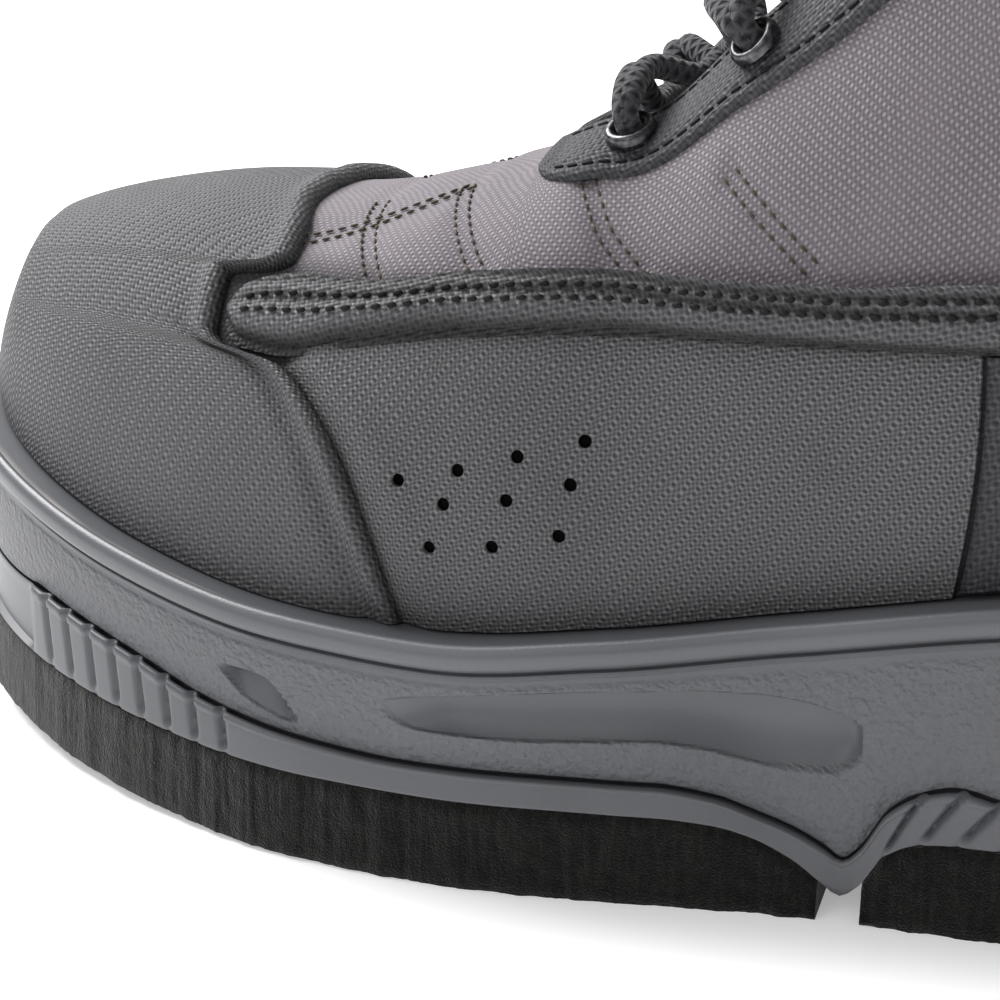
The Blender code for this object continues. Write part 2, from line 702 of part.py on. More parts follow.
def make_cuff(finish):
    """The padded cuff round the collar."""
    rows = upper_rows()
    rows = rows[rows >= CUFF_ROW]
    arches = np.array([upper_arches(row) for row in rows])
    swell = np.sin(np.linspace(0, 1, len(rows)) * math.pi) ** PAD_POWER
    back = CANVAS_FACE + LAYER_GAP
    face = (back + CUFF_EDGE + (CUFF_FACE - back) * swell)[:, None]
    patches = []
    for side in (OUTER, INNER):
        outer = form_grid(rows, arches, side, np.broadcast_to(face, arches.shape))
        patches.append((outer, form_grid(rows, arches, side, back), side == INNER))
    return add_shell("cuff", patches, finish)


def make_tongue(finish):
    """The padded tongue, lying under the throat and its stays and standing a little over the collar."""
    rows = upper_rows()
    rows = np.array((*rows[rows > TONGUE_ROW], (COLLAR_ROW + TONGUE_TOP_ROW) / 2, TONGUE_TOP_ROW))
    face = CANVAS_FACE - CANVAS_WALL - 2 * GAP
    arches = []
    for row in rows:
        narrow = rounded(TONGUE_TOP_ROW + 0.1 - row, TONGUE_TOP_ROW + 0.1 - COLLAR_ROW, 2.0)
        under_stay = arches_down(row, STAY_WIDTH * np.linspace(1, 0, STAY_STEPS + 1)[[1, -1]])
        middle = arch_beside_ridge(row, throat_half(row) / 2, CANVAS_FACE)
        arches.append(1 - narrow * (1 - np.array((*under_stay, middle, 1.0))))
    patches = []
    for side in (OUTER, INNER):
        outer = form_grid(rows, arches, side, face)
        inner = form_grid(rows, arches, side, face - TONGUE_WALL)
        patches.append((outer, inner, side == INNER))
    return add_shell("tongue", patches, finish)


def spring_height(x):
    return SPRING_LIFT * np.clip(1 - x / SPRING_RUN, 0, 1.2) ** 2


def tread_height(x, column):
    return spring_height(x) + FELT_THICKNESS * TREAD.read(column, x / LAST_LENGTH)


def add_sole_piece(name, stations, profile, finish, shifts=None):
    """A piece of the sole: rings of one profile round the outline, closed by flat spans across it.

    The profile gives, for each ring, its outset and its height as functions of the station.
    """
    count, rings = len(stations), len(profile)
    points = []
    for side in (OUTER, INNER):
        for k, (outset, height) in enumerate(profile):
            place = stations + (shifts[k] if shifts else 0)
            x, y = outline(place, side, outset(place))
            for column in zip(x - MIDDLE_X, y - MIDDLE_Y, height(place)):
                points.append(column)

    def index(side, ring, station):
        return (side * rings + ring) * count + station
    faces = []
    for i in range(count - 1):
        for k in range(rings - 1):
            faces.append((index(0, k, i), index(0, k, i + 1), index(0, k + 1, i + 1), index(0, k + 1, i)))
            faces.append((index(1, k, i), index(1, k + 1, i), index(1, k + 1, i + 1), index(1, k, i + 1)))
        for k, turn in ((0, 1), (rings - 1, -1)):
            span = (index(0, k, i), index(1, k, i), index(1, k, i + 1), index(0, k, i + 1))
            faces.append(span[::turn])
    for i, turn in ((0, 1), (count - 1, -1)):
        for k in range(rings - 1):
            span = (index(0, k, i), index(0, k + 1, i), index(1, k + 1, i), index(1, k, i))
            faces.append(span[::turn])
    return finish_mesh(name, points, faces, finish)


def flat(value):
    return lambda x: np.full_like(x, value)


def sole_stations(start, end, toe=True, heel=True, step=9.0 * MM):
    """Places along the sole, closer together in its rounded ends."""
    count = max(int(round((end - start) / step)), 4)
    x = np.linspace(start, end, count + 1)
    extra = []
    if toe:
        extra += [start + step * share for share in (0.03, 0.12, 0.3, 0.6)]
    if heel:
        extra += [end - step * share for share in (0.03, 0.12, 0.3, 0.6, 1.5)]
    return np.array(sorted([*x, *extra]))


def make_felt(name, start, end, toe, finish):
    """A felt tread, flat on the floor but for the spring of the toe."""
    places = LAST_LENGTH * TREAD.places
    shape = places[(places > start) & (places < end) & (abs(places - NOTCH_ALONG) < NOTCH_REACH)]
    stations = np.union1d(sole_stations(start, end, toe=toe, heel=not toe), shape)
    profile = (
        (flat(TREAD_OUTSET), lambda x: tread_height(x, "under")),
        (flat(TREAD_OUTSET + FELT_FLARE), spring_height))
    return add_sole_piece(name, stations, profile, finish)


def rib_stations():
    """Stations over each groove of the rim, and the depth of the rim there."""
    places, depths = [], []
    for start, count in ((TOE_RIB_START, TOE_RIBS), (HEEL_RIB_START, HEEL_RIBS)):
        for k in range(count):
            middle = start + k * RIB_PITCH
            for share, depth in ((-0.2, 0), (0, 1), (0.2, 0)):
                places.append(middle + share * RIB_PITCH)
                depths.append(depth)
    return np.array(places), np.array(depths)


def make_outsole(finish):
    """The rubber outsole: a shallow cup under the midsole whose rim has ribs at toe and heel front."""
    groove, depth = rib_stations()
    plain = sole_stations(0, LAST_LENGTH, step=16 * MM)
    plain = plain[np.min(abs(plain[:, None] - groove), axis=1) > 0.5 * RIB_PITCH]
    shape = LAST_LENGTH * TREAD.places[(TREAD.places > 0.07) & (TREAD.places < 0.66)]
    stations = np.array(sorted((*plain, *shape, *groove)))
    stations = stations[np.concatenate(([True], np.diff(stations) > 0.3 * MM))]
    depths = np.interp(stations, groove, depth) * RIB_DEPTH

    def rim(x):
        return tread_height(x, "rim")

    def under(x):
        return tread_height(x, "under") + GAP

    def step(x):
        return RIM_WIDTH * TREAD.read("step", x / LAST_LENGTH)

    def floor(x):
        return under(x) + np.minimum(OUTSOLE_FLOOR, (rim(x) - under(x)) * FLOOR_SHARE)
    foot = WALL_FOOT_OUTSET
    slant = np.where(stations < NOTCH_ALONG, TOE_RIB_SLANT, HEEL_RIB_SLANT)
    away = np.min(abs(stations[:, None] - groove), axis=1)
    lean = slant * (rim(stations) - under(stations)) / 2 * np.clip(1.3 - away / RIB_FADE, 0, 1)
    profile = (
        (flat(foot - RIM_INSIDE - GAP), floor),
        (flat(foot - RIM_INSIDE), lambda x: rim(x) - RIM_DEPTH),
        (lambda x: foot + 0.6 * (step(x) - depths), rim),
        (lambda x: foot + step(x) - depths, lambda x: rim(x) - RIM_ROUNDING * step(x) / RIM_WIDTH),
        (lambda x: foot + step(x) + RIM_LEAN - 0.7 * depths, lambda x: under(x) + OUTSOLE_EDGE),
        (flat(TREAD_OUTSET - 0.1 * MM), under))
    shifts = (0, 0, -lean, -lean * 0.8, lean, lean)
    return add_sole_piece("outsole", stations, profile, finish, shifts)


def make_midsole(finish):
    """The moulded midsole: a lip round the upper, a groove, a wall with recesses, a foot in the outsole."""
    plain = sole_stations(0, LAST_LENGTH, step=24 * MM)
    shape = LAST_LENGTH * RECESS.places[(RECESS.places > 0.2) & (RECESS.places < 0.56)]
    notch = LAST_LENGTH * TREAD.places[(TREAD.places > 0.5) & (TREAD.places < 0.65)]
    rest = plain[np.min(abs(plain[:, None] - np.concatenate((shape, notch))), axis=1) > 3 * MM]
    stations = np.array(sorted((*rest, *shape, *notch)))
    stations = stations[np.concatenate(([True], np.diff(stations) > 0.2 * MM))]

    def lip(x):
        return feather_height(x)

    def foot_of_wall(x):
        return tread_height(x, "rim")

    def floor(x):
        under = tread_height(x, "under") + GAP
        return under + np.minimum(OUTSOLE_FLOOR, (foot_of_wall(x) - under) * FLOOR_SHARE) + GAP

    def recess(column):
        def height(x):
            wanted = FELT_THICKNESS * RECESS.read(column, x / LAST_LENGTH)
            highest = lip(x) - LIP_DEPTH - WALL_DROP - RECESS_CLEAR
            return np.clip(wanted, foot_of_wall(x) + 2 * GAP, highest)
        return height
    top, foot = recess("top"), recess("foot")

    def between(share):
        shift = math.copysign(RECESS_ROUNDING, share - 0.5)
        return lambda x: top(x) * (1 - share) + foot(x) * share + shift

    def wall(height):
        def outset(x):
            span = lip(x) - LIP_DEPTH - foot_of_wall(x)
            share = np.clip((height(x) - foot_of_wall(x)) / span, 0, 1)
            return WALL_FOOT_OUTSET + (WALL_TOP_OUTSET - WALL_FOOT_OUTSET) * share
        return outset

    def sunk(height, share):
        line = wall(height)
        return lambda x: line(x) - share * RECESS_DEPTH * RECESS.read("depth", x / LAST_LENGTH)
    inner_floor, outer_floor = between(0.25), between(0.72)
    profile = (
        (flat(LIP_OUTSET - BEAD_WIDTH - BEAD_SEAT), lip),
        (flat(LIP_OUTSET - 0.6 * BEAD_WIDTH), lambda x: lip(x) + BEAD_RISE),
        (flat(LIP_OUTSET), lambda x: lip(x) - 0.2 * LIP_DEPTH),
        (flat(LIP_OUTSET - LIP_TAPER), lambda x: lip(x) - LIP_DEPTH),
        (flat(LIP_OUTSET - LIP_TAPER - GROOVE_DEPTH), lambda x: lip(x) - LIP_DEPTH - GROOVE_DROP),
        (flat(WALL_TOP_OUTSET + FINE_RIDGE), lambda x: lip(x) - LIP_DEPTH - RIDGE_DROP),
        (flat(WALL_TOP_OUTSET), lambda x: lip(x) - LIP_DEPTH - WALL_DROP),
        (wall(top), top),
        (sunk(inner_floor, 1.0), inner_floor),
        (sunk(outer_floor, 0.6), outer_floor),
        (wall(foot), foot),
        (flat(WALL_FOOT_OUTSET), lambda x: foot_of_wall(x) + GAP),
        (flat(WALL_FOOT_OUTSET - FOOT_INSET), lambda x: foot_of_wall(x) - GAP),
        (flat(WALL_FOOT_OUTSET - FOOT_INSET), floor))
    return add_sole_piece("midsole", stations, profile, finish)


def make_insole(finish):
    """The insole, on the midsole inside the upper."""
    stations = sole_stations(0, LAST_LENGTH, step=18 * MM)
    profile = (
        (flat(-INSOLE_INSET), lambda x: feather_height(x) + GAP + INSOLE_THICKNESS),
        (flat(-INSOLE_INSET), lambda x: feather_height(x) + GAP))
    return add_sole_piece("insole", stations, profile, finish)


def eyelet_place(row, side):
    """Centre of an eyelet on the face of its stay, and the direction that it faces."""
    arch = arches_down(row, EYELET_INSET)
    step = 0.01
    centre = form_point(row, arch, side, STAY_FACE)
    along = form_point(row + step, arch, side, STAY_FACE) - form_point(row - step, arch, side, STAY_FACE)
    across = form_point(row, arch + step, side, STAY_FACE) - form_point(row, arch - step, side, STAY_FACE)
    normal = np.cross(across, along) * -side
    normal = normal / np.linalg.norm(normal)
    if normal[0] > 0:
        normal = -normal
    return centre, normal


def make_eyelets(finish):
    """Metal ring eyelets, turned from one profile and shared by every place."""
    profile = ((EYELET_HOLE, 0), (EYELET_HOLE + 0.4 * MM, 1), (EYELET_RADIUS - 0.5 * MM, 0.8),
               (EYELET_RADIUS, 0))
    sides = 8
    work = bmesh.new()
    rings = []
    for k in range(sides):
        angle = 2 * math.pi * k / sides
        rings.append([work.verts.new((radius * math.cos(angle), radius * math.sin(angle), EYELET_HEIGHT * up))
                      for radius, up in profile])
    for k in range(sides):
        ring, following = rings[k], rings[(k + 1) % sides]
        for j in range(len(profile)):
            after = (j + 1) % len(profile)
            work.faces.new((ring[j], ring[after], following[after], following[j]))
    bmesh.ops.recalc_face_normals(work, faces=work.faces)
    mesh = bpy.data.meshes.new("eyelet")
    work.to_mesh(mesh)
    work.free()
    mesh.materials.append(finish)
    for side, label in ((OUTER, "outer"), (INNER, "inner")):
        for number, row in enumerate(EYELET_ROWS, start=1):
            centre, normal = eyelet_place(row, side)
            ring = bpy.data.objects.new(f"eyelet_{label}_{number}", mesh)
            BOOT.objects.link(ring)
            ring.rotation_mode = "QUATERNION"
            ring.rotation_quaternion = Vector(normal).to_track_quat("Z", "X")
            ring.location = Vector(centre) + Vector(normal) * EYELET_LIFT


def lace_tube(name, points):
    curve = bpy.data.curves.new(name, "CURVE")
    curve.dimensions = "3D"
    curve.bevel_depth = LACE_RADIUS
    curve.bevel_resolution = 1
    curve.use_fill_caps = True
    spline = curve.splines.new("POLY")
    spline.points.add(len(points) - 1)
    for place, point in zip(spline.points, points):
        place.co = (*point, 1)
    tube = bpy.data.objects.new(name, curve)
    BOOT.objects.link(tube)
    graph = bpy.context.evaluated_depsgraph_get()
    mesh = bpy.data.meshes.new_from_object(tube.evaluated_get(graph))
    work = bmesh.new()
    work.from_mesh(mesh)
    bmesh.ops.remove_doubles(work, verts=work.verts, dist=0.01 * MM)
    bmesh.ops.recalc_face_normals(work, faces=work.faces)
    work.to_mesh(mesh)
    work.free()
    bpy.data.objects.remove(tube)
    return mesh


def lace_points(start_row, end_row, first_side):
    """One crossing: over the stay at each end, and down to the tongue between them."""
    on_eyelet = STAY_FACE + EYELET_LIFT + EYELET_HEIGHT + LACE_GAP + LACE_RADIUS
    on_tongue = CANVAS_FACE - CANVAS_WALL + LACE_GAP + LACE_RADIUS
    points = []
    for across in LACE_ACROSS:
        outset = on_eyelet if abs(across) > 0.5 else on_tongue
        row = start_row + (end_row - start_row) * (1 - across) / 2
        side = first_side if across > 0 else -first_side
        if abs(across) == 1:
            arch = arches_down(row, EYELET_INSET)
        else:
            arch = arch_beside_ridge(row, abs(across) * LACE_BEND * throat_half(row), outset)
        points.append(tuple(form_point(row, arch, side, outset)))
    return points


def lace_route(first_side):
    """One end of the lace, from eyelet to eyelet across the throat."""
    points = []
    for number in range(len(EYELET_ROWS) - 1):
        side = first_side if number % 2 == 0 else -first_side
        points += lace_points(EYELET_ROWS[number], EYELET_ROWS[number + 1], side)[:-1]
    last_side = first_side if len(EYELET_ROWS) % 2 else -first_side
    points.append(lace_points(EYELET_ROWS[-1], EYELET_ROWS[-1], last_side)[0])
    return points


def make_lace(finish):
    """The crossed lace: two ends and the first bar, joined into one solid."""
    pieces = []
    routes = [lace_route(OUTER), lace_route(INNER)]
    bar = lace_points(EYELET_ROWS[0], EYELET_ROWS[0], OUTER)
    for number, route in enumerate((*routes, bar)):
        mesh = lace_tube(f"lace_run_{number}", route)
        piece = bpy.data.objects.new("lace" if number == 0 else f"lace_run_{number}", mesh)
        (BOOT if number == 0 else CUTTERS).objects.link(piece)
        if number:
            piece.hide_render = True
            piece.display_type = "WIRE"
            join = pieces[0].modifiers.new("join", "BOOLEAN")
            join.operation = "UNION"
            join.object = piece
        pieces.append(piece)
    pieces[0].data.materials.append(finish)


for existing in list(bpy.data.objects):
    bpy.data.objects.remove(existing)
BOOT = bpy.data.collections.new("wading_boot")
CUTTERS = bpy.data.collections.new("joined_shapes")
for group in (BOOT, CUTTERS):
    bpy.context.scene.collection.children.link(group)

canvas = material("grey canvas", (0.30, 0.27, 0.30), 0.85)
weave = material("rubberised weave", (0.10, 0.10, 0.105), 0.6)
dark_weave = material("dark weave", (0.05, 0.05, 0.053), 0.65)
rubber = material("grey rubber", (0.13, 0.135, 0.145), 0.5)
felt = material("dark felt", (0.03, 0.027, 0.025), 0.95)
foam = material("tongue canvas", (0.12, 0.115, 0.12), 0.85)
board = material("insole foam", (0.06, 0.06, 0.065), 0.9)
metal = material("dark metal", (0.25, 0.25, 0.26), 0.35, 1.0)
cord = material("lace cord", (0.05, 0.05, 0.055), 0.8)

make_upper(canvas)
make_toe_cap(weave)
make_side_panel("side_panel_outer", OUTER, weave)
make_side_panel("side_panel_inner", INNER, weave)
make_strip(weave)
make_counter(dark_weave)
make_stay("eyestay_outer", OUTER, dark_weave)
make_stay("eyestay_inner", INNER, dark_weave)
make_cuff(dark_weave)
make_tongue(foam)
make_insole(board)
make_midsole(rubber)
make_outsole(rubber)
make_felt("felt_front", 0.0, NOTCH_ALONG - NOTCH_HALF, True, felt)
make_felt("felt_heel", NOTCH_ALONG + NOTCH_HALF, LAST_LENGTH, False, felt)
make_eyelets(metal)
make_lace(cord)
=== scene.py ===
import math

import bmesh
import bpy
import numpy as np
from mathutils import Matrix, Vector


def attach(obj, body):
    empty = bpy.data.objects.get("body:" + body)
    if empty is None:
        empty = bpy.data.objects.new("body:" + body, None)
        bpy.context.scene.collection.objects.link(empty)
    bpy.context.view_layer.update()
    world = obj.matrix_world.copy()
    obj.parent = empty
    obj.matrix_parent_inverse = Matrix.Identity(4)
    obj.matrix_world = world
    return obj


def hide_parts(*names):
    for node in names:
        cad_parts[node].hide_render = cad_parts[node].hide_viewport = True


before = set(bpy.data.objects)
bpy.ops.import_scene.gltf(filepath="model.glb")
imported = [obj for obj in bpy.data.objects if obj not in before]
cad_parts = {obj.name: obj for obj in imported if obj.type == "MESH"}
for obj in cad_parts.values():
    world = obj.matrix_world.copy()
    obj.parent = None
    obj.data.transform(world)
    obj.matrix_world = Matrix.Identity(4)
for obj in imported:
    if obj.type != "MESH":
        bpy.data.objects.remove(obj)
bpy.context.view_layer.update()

# The studio: a plain pale floor, a large soft light over the toe, a weaker one from the camera's
# side and a pale sky. The camera stands close to the outer side, a little behind the ball of the
# foot, and looks down at the forefoot.
MM = 0.001
VIEW_TURN = math.radians(19.165)
VIEW_TILT = math.radians(20.002)
VIEW_ROLL = math.radians(-1.278)
VIEW_PLACE = Vector((50.7, -294.7, 151.5)) * MM
FOCAL_SHARE = 2.05
SENSOR = 36.0
FLOOR_HALF = 4.0
FLOOR_COLOUR = (0.9, 0.9, 0.9, 1)
FLOOR_ROUGHNESS = 0.9
FLOOR_GLOW = 0.32
SKY_COLOUR = (1.0, 1.0, 1.0, 1)
SKY_STRENGTH = 0.36
NEAREST_SEEN = 0.01
LIT_PLACE = Vector((-0.05, 0, 0.05))
LIGHTS = (("light_over_toe", (-0.75, 0.28, 0.95), 0.7, 25.5),
          ("light_beside_camera", (-0.6, -1.1, 0.9), 0.9, 4.0),
          ("light_behind_heel", (0.9, 0.5, 0.9), 0.8, 6.0))

camera_data = bpy.data.cameras.new("camera")
camera_data.lens = FOCAL_SHARE * SENSOR
camera_data.sensor_width = SENSOR
camera_data.clip_start = NEAREST_SEEN
camera = bpy.data.objects.new("camera", camera_data)
bpy.context.scene.collection.objects.link(camera)
level_reach = math.cos(VIEW_TILT)
backward = Vector((math.sin(VIEW_TURN) * level_reach, -math.cos(VIEW_TURN) * level_reach,
                   math.sin(VIEW_TILT)))
level = Vector((0, 0, 1)).cross(backward).normalized()
upward = backward.cross(level)
right = level * math.cos(VIEW_ROLL) + upward * math.sin(VIEW_ROLL)
above = upward * math.cos(VIEW_ROLL) - level * math.sin(VIEW_ROLL)
turned = Matrix((right, above, backward)).transposed().to_4x4()
camera.matrix_world = Matrix.Translation(VIEW_PLACE) @ turned
bpy.context.scene.camera = camera

for light_name, place, size, power in LIGHTS:
    light_data = bpy.data.lights.new(light_name, "AREA")
    light_data.shape = "SQUARE"
    light_data.size = size
    light_data.energy = power
    light = bpy.data.objects.new(light_name, light_data)
    bpy.context.scene.collection.objects.link(light)
    light.location = place
    light.rotation_euler = (LIT_PLACE - light.location).to_track_quat("-Z", "Y").to_euler()

world = bpy.data.worlds.new("pale_sky")
world.use_nodes = True
sky = world.node_tree.nodes["Background"]
sky.inputs["Color"].default_value = SKY_COLOUR
sky.inputs["Strength"].default_value = SKY_STRENGTH
bpy.context.scene.world = world
bpy.context.scene.view_settings.view_transform = "Standard"

floor_mesh = bpy.data.meshes.new("floor")
floor_corners = [(x * FLOOR_HALF, y * FLOOR_HALF, 0) for x, y in ((-1, -1), (1, -1), (1, 1), (-1, 1))]
floor_mesh.from_pydata(floor_corners, [], [(0, 1, 2, 3)])
floor_finish = bpy.data.materials.new("floor_paint")
floor_finish.use_nodes = True
floor_shader = floor_finish.node_tree.nodes["Principled BSDF"]
for socket, value in (("Base Color", FLOOR_COLOUR), ("Roughness", FLOOR_ROUGHNESS),
                      ("Emission Color", SKY_COLOUR), ("Emission Strength", FLOOR_GLOW)):
    floor_shader.inputs[socket].default_value = value
floor_mesh.materials.append(floor_finish)
floor = bpy.data.objects.new("floor", floor_mesh)
bpy.context.scene.collection.objects.link(floor)


# The canvas upper: a lasted body of grey canvas with a cloth lining, one wall of 2.2 mm, sewn with
# double lines over the vamp. Its form is a fan of sections, each from a foot on the feather line or
# up the heel to a top on the ridge, and every piece over it is made on the same form.
GAP = 0.3 * MM
LAYER_GAP = 0.4 * MM
LAST_LENGTH = 288 * MM
BALL_HALF = 50 * MM
BALL_HEIGHT = 36 * MM
HEEL_HEIGHT = 52.5 * MM
TOE_LIFT = 16.2 * MM
INSTEP_HEIGHT = 105 * MM
COLLAR_HEIGHT = 213 * MM
HEEL_SHAFT = 144.4 * MM
OUTER, INNER = -1, 1
TOE_RUN = {OUTER: 81 * MM, INNER: 59 * MM}
TOE_POWER = {OUTER: 1.7, INNER: 2.2}
HEEL_RUN = 46 * MM
HEEL_POWER = 2.2
TOE_SWING = 6.2 * MM
HEEL_SWING = -0.8 * MM
NOSE_RUN = 16 * MM
NOSE_POWER = 1.35
MIDDLE_X = LAST_LENGTH / 2
MIDDLE_Y = -0.3 * MM
CANVAS_FACE = -2.4 * MM
CANVAS_WALL = 2.2 * MM
THROAT_ROW = 4.3
HEEL_BEND_ROW = 9.0
HEEL_ROW = 11.0
CUFF_ROW = 14.7
COLLAR_ROW = 16.0
TONGUE_TOP_ROW = 17.0
THROAT_HALF = 11 * MM
THROAT_FLARE = 4 * MM
THROAT_ROUNDING = 0.55
STAY_WIDTH = 14 * MM
HALVINGS = 20
SHARP_EDGE = math.radians(50)


class Table:
    """Rows under named columns, read between by a cubic that never overshoots them."""

    def __init__(self, columns, *rows):
        self.columns = dict(zip(columns.split(), np.array(rows, float).T))
        self.places = next(iter(self.columns.values()))

    def read(self, column, at):
        places, values = self.places, self.columns[column]
        step = np.diff(places)
        slope = np.diff(values) / step
        steady = slope[:-1] * slope[1:] > 0
        mean = 2 * slope[:-1] * slope[1:] / np.where(steady, slope[:-1] + slope[1:], 1)
        tangent = np.concatenate((slope[:1], np.where(steady, mean, 0), slope[-1:]))
        at = np.asarray(at, float)
        row = np.clip(np.searchsorted(places, at, side="right") - 1, 0, len(step) - 1)
        t = np.clip((at - places[row]) / step[row], 0, 1)
        start = (1 + 2 * t) * (1 - t) ** 2 * values[row] + t * (1 - t) ** 2 * step[row] * tangent[row]
        end = t * t * (3 - 2 * t) * values[row + 1] - t * t * (1 - t) * step[row] * tangent[row + 1]
        return start + end


# Half widths of the feather line, shares of BALL_HALF, and its rise, shares of the rise to the heel
# and of TOE_LIFT
PLAN = Table(
    "along  outer  inner  heel  toe",
    (0.000, 0.920, 0.850, 0.00, 1.00),
    (0.090, 0.930, 0.865, 0.00, 0.57),
    (0.170, 0.942, 0.880, 0.00, 0.28),
    (0.260, 0.975, 0.930, 0.00, 0.08),
    (0.350, 1.000, 0.980, 0.00, 0.00),
    (0.430, 0.955, 0.975, 0.13, 0.00),
    (0.520, 0.880, 0.870, 0.37, 0.00),
    (0.620, 0.850, 0.780, 0.68, 0.00),
    (0.730, 0.820, 0.750, 0.88, 0.00),
    (0.830, 0.800, 0.760, 0.96, 0.00),
    (1.000, 0.780, 0.760, 1.00, 0.00))

# Sections: foot and top along the last, rise up the heel, heights of the top, half width and round
FAN = Table(
    "row  sole  back   ridge  instep  shaft  waist  round",
    (0.0, 0.000, 0.00, 0.000, 0.734, 0.00, 1.00, 2.5),
    (1.0, 0.087, 0.00, 0.087, 0.813, 0.00, 1.00, 2.5),
    (2.0, 0.174, 0.00, 0.174, 0.850, 0.00, 1.00, 2.5),
    (3.0, 0.260, 0.00, 0.260, 0.860, 0.00, 1.00, 2.5),
    (4.0, 0.340, 0.00, 0.340, 0.912, 0.00, 0.97, 2.5),
    (5.0, 0.424, 0.00, 0.406, 1.000, 0.00, 0.91, 2.4),
    (6.0, 0.514, 0.00, 0.462, 1.000, 0.12, 0.85, 2.3),
    (7.0, 0.608, 0.00, 0.507, 1.000, 0.25, 0.79, 2.2),
    (8.0, 0.708, 0.00, 0.538, 1.000, 0.37, 0.75, 2.2),
    (9.0, 0.812, 0.00, 0.559, 1.000, 0.48, 0.73, 2.2),
    (10.0, 0.917, 0.00, 0.573, 1.000, 0.574, 0.72, 2.2),
    (11.0, 1.000, 0.00, 0.583, 1.000, 0.657, 0.73, 2.2),
    (12.0, 1.000, 0.17, 0.590, 1.000, 0.731, 0.76, 2.2),
    (13.0, 1.000, 0.36, 0.596, 1.000, 0.796, 0.79, 2.2),
    (14.0, 1.000, 0.57, 0.599, 1.000, 0.861, 0.83, 2.2),
    (15.0, 1.000, 0.78, 0.601, 1.000, 0.926, 0.87, 2.2),
    (16.0, 1.000, 1.00, 0.602, 1.000, 1.000, 0.89, 2.2),
    (17.0, 1.000, 1.08, 0.600, 1.000, 1.100, 0.89, 2.2))

BACK = Table(
    "rise  reach",
    (0.00, 1.000),
    (0.17, 1.012),
    (0.36, 1.003),
    (0.57, 0.983),
    (0.78, 0.970),
    (1.08, 0.977))


def rounded(distance, run, power):
    inside = np.clip(distance / run, 0, 1)
    return (1 - (1 - inside) ** power) ** (1 / power)


def bell(distance, width):
    """1 on a line, and next to nothing at twice the width from it."""
    return np.exp(-(distance / width) ** 2)


def eased(share):
    share = np.clip(share, 0, 1)
    return share * share * (3 - 2 * share)


def feather_height(x):
    along = np.asarray(x) / LAST_LENGTH
    rise = HEEL_HEIGHT - BALL_HEIGHT
    return BALL_HEIGHT + rise * PLAN.read("heel", along) + TOE_LIFT * PLAN.read("toe", along)


def plan_line(x, foot, side, outset):
    column = "outer" if side == OUTER else "inner"
    half = BALL_HALF * PLAN.read(column, foot / LAST_LENGTH) + outset
    swing = np.where(x < LAST_LENGTH / 2, TOE_SWING, HEEL_SWING)
    toe = rounded(x + outset, TOE_RUN[side] + outset, TOE_POWER[side])
    return swing + side * (half - side * swing) * toe


def stretched(x, outset):
    toe = np.clip(1 - x / TOE_RUN[OUTER], 0, 1)
    heel = np.clip((x - LAST_LENGTH + HEEL_RUN) / HEEL_RUN, 0, 1)
    return x + outset * (heel - toe)


def ridge_point(row, outset):
    def at(place):
        shaft = COLLAR_HEIGHT - INSTEP_HEIGHT
        height = INSTEP_HEIGHT * FAN.read("instep", place) + shaft * FAN.read("shaft", place)
        return LAST_LENGTH * FAN.read("ridge", place), height
    step = 0.05
    before, after = at(np.maximum(row - step, 0)), at(np.minimum(row + step, TONGUE_TOP_ROW))
    run, rise = after[0] - before[0], after[1] - before[1]
    length = np.hypot(run, rise)
    x, z = at(row)
    vertical = row < 1
    return (x - np.where(vertical, 0, outset * rise / length),
            z + np.where(vertical, outset, outset * run / length))


def form_point(row, arch, side, outset):
    """A point of the form: arch is 0 at the foot of the section and 1 at its top."""
    row, arch = np.broadcast_arrays(np.asarray(row, float), np.asarray(arch, float))
    foot = LAST_LENGTH * FAN.read("sole", row)
    up = FAN.read("back", row)
    foot_x = np.where(up > 0, LAST_LENGTH * BACK.read("reach", up) + outset, stretched(foot, outset))
    foot_z = feather_height(foot) + GAP + HEEL_SHAFT * up
    top_x, top_z = ridge_point(row, outset)
    top_x = np.where(row < 1, foot_x, top_x)
    nose = rounded(foot_x + outset, NOSE_RUN + outset, NOSE_POWER)
    x = foot_x + arch * (top_x - foot_x)
    z = foot_z + arch * (top_z - foot_z) * nose
    near = plan_line(foot_x, foot, OUTER, outset)
    far = plan_line(foot_x, foot, INNER, outset)
    middle, half = (near + far) / 2, (far - near) / 2
    blend = eased(2 * arch) * np.clip(row - 3, 0, 1)
    half = half + blend * (BALL_HALF * FAN.read("waist", row) + outset - half)
    power = FAN.read("round", row)
    above_foot = np.clip((z - HEEL_HEIGHT - GAP) / HEEL_SHAFT, 0, None)
    back = LAST_LENGTH * BACK.read("reach", above_foot) + outset
    half = half * (1 - arch ** power) ** (1 / power) * rounded(back - x, HEEL_RUN + outset, HEEL_POWER)
    return np.stack((x - MIDDLE_X, middle + side * half - MIDDLE_Y, z), axis=-1)


def heel_blend(row):
    return np.clip((np.asarray(row, float) - HEEL_BEND_ROW) / (HEEL_ROW + 0.5 - HEEL_BEND_ROW), 0, 1)


def arch_spread(share, row):
    blend = heel_blend(row)
    return np.sin(share * math.pi / 2) ** 0.8 * (1 - blend) + share ** 2 * blend


def throat_half(row):
    opened = np.clip((row - THROAT_ROW) / THROAT_ROUNDING, 0, 1)
    flare = THROAT_FLARE * np.maximum(row - THROAT_ROW, 0) / (COLLAR_ROW - THROAT_ROW)
    return THROAT_HALF * np.sqrt(opened * (2 - opened)) + flare


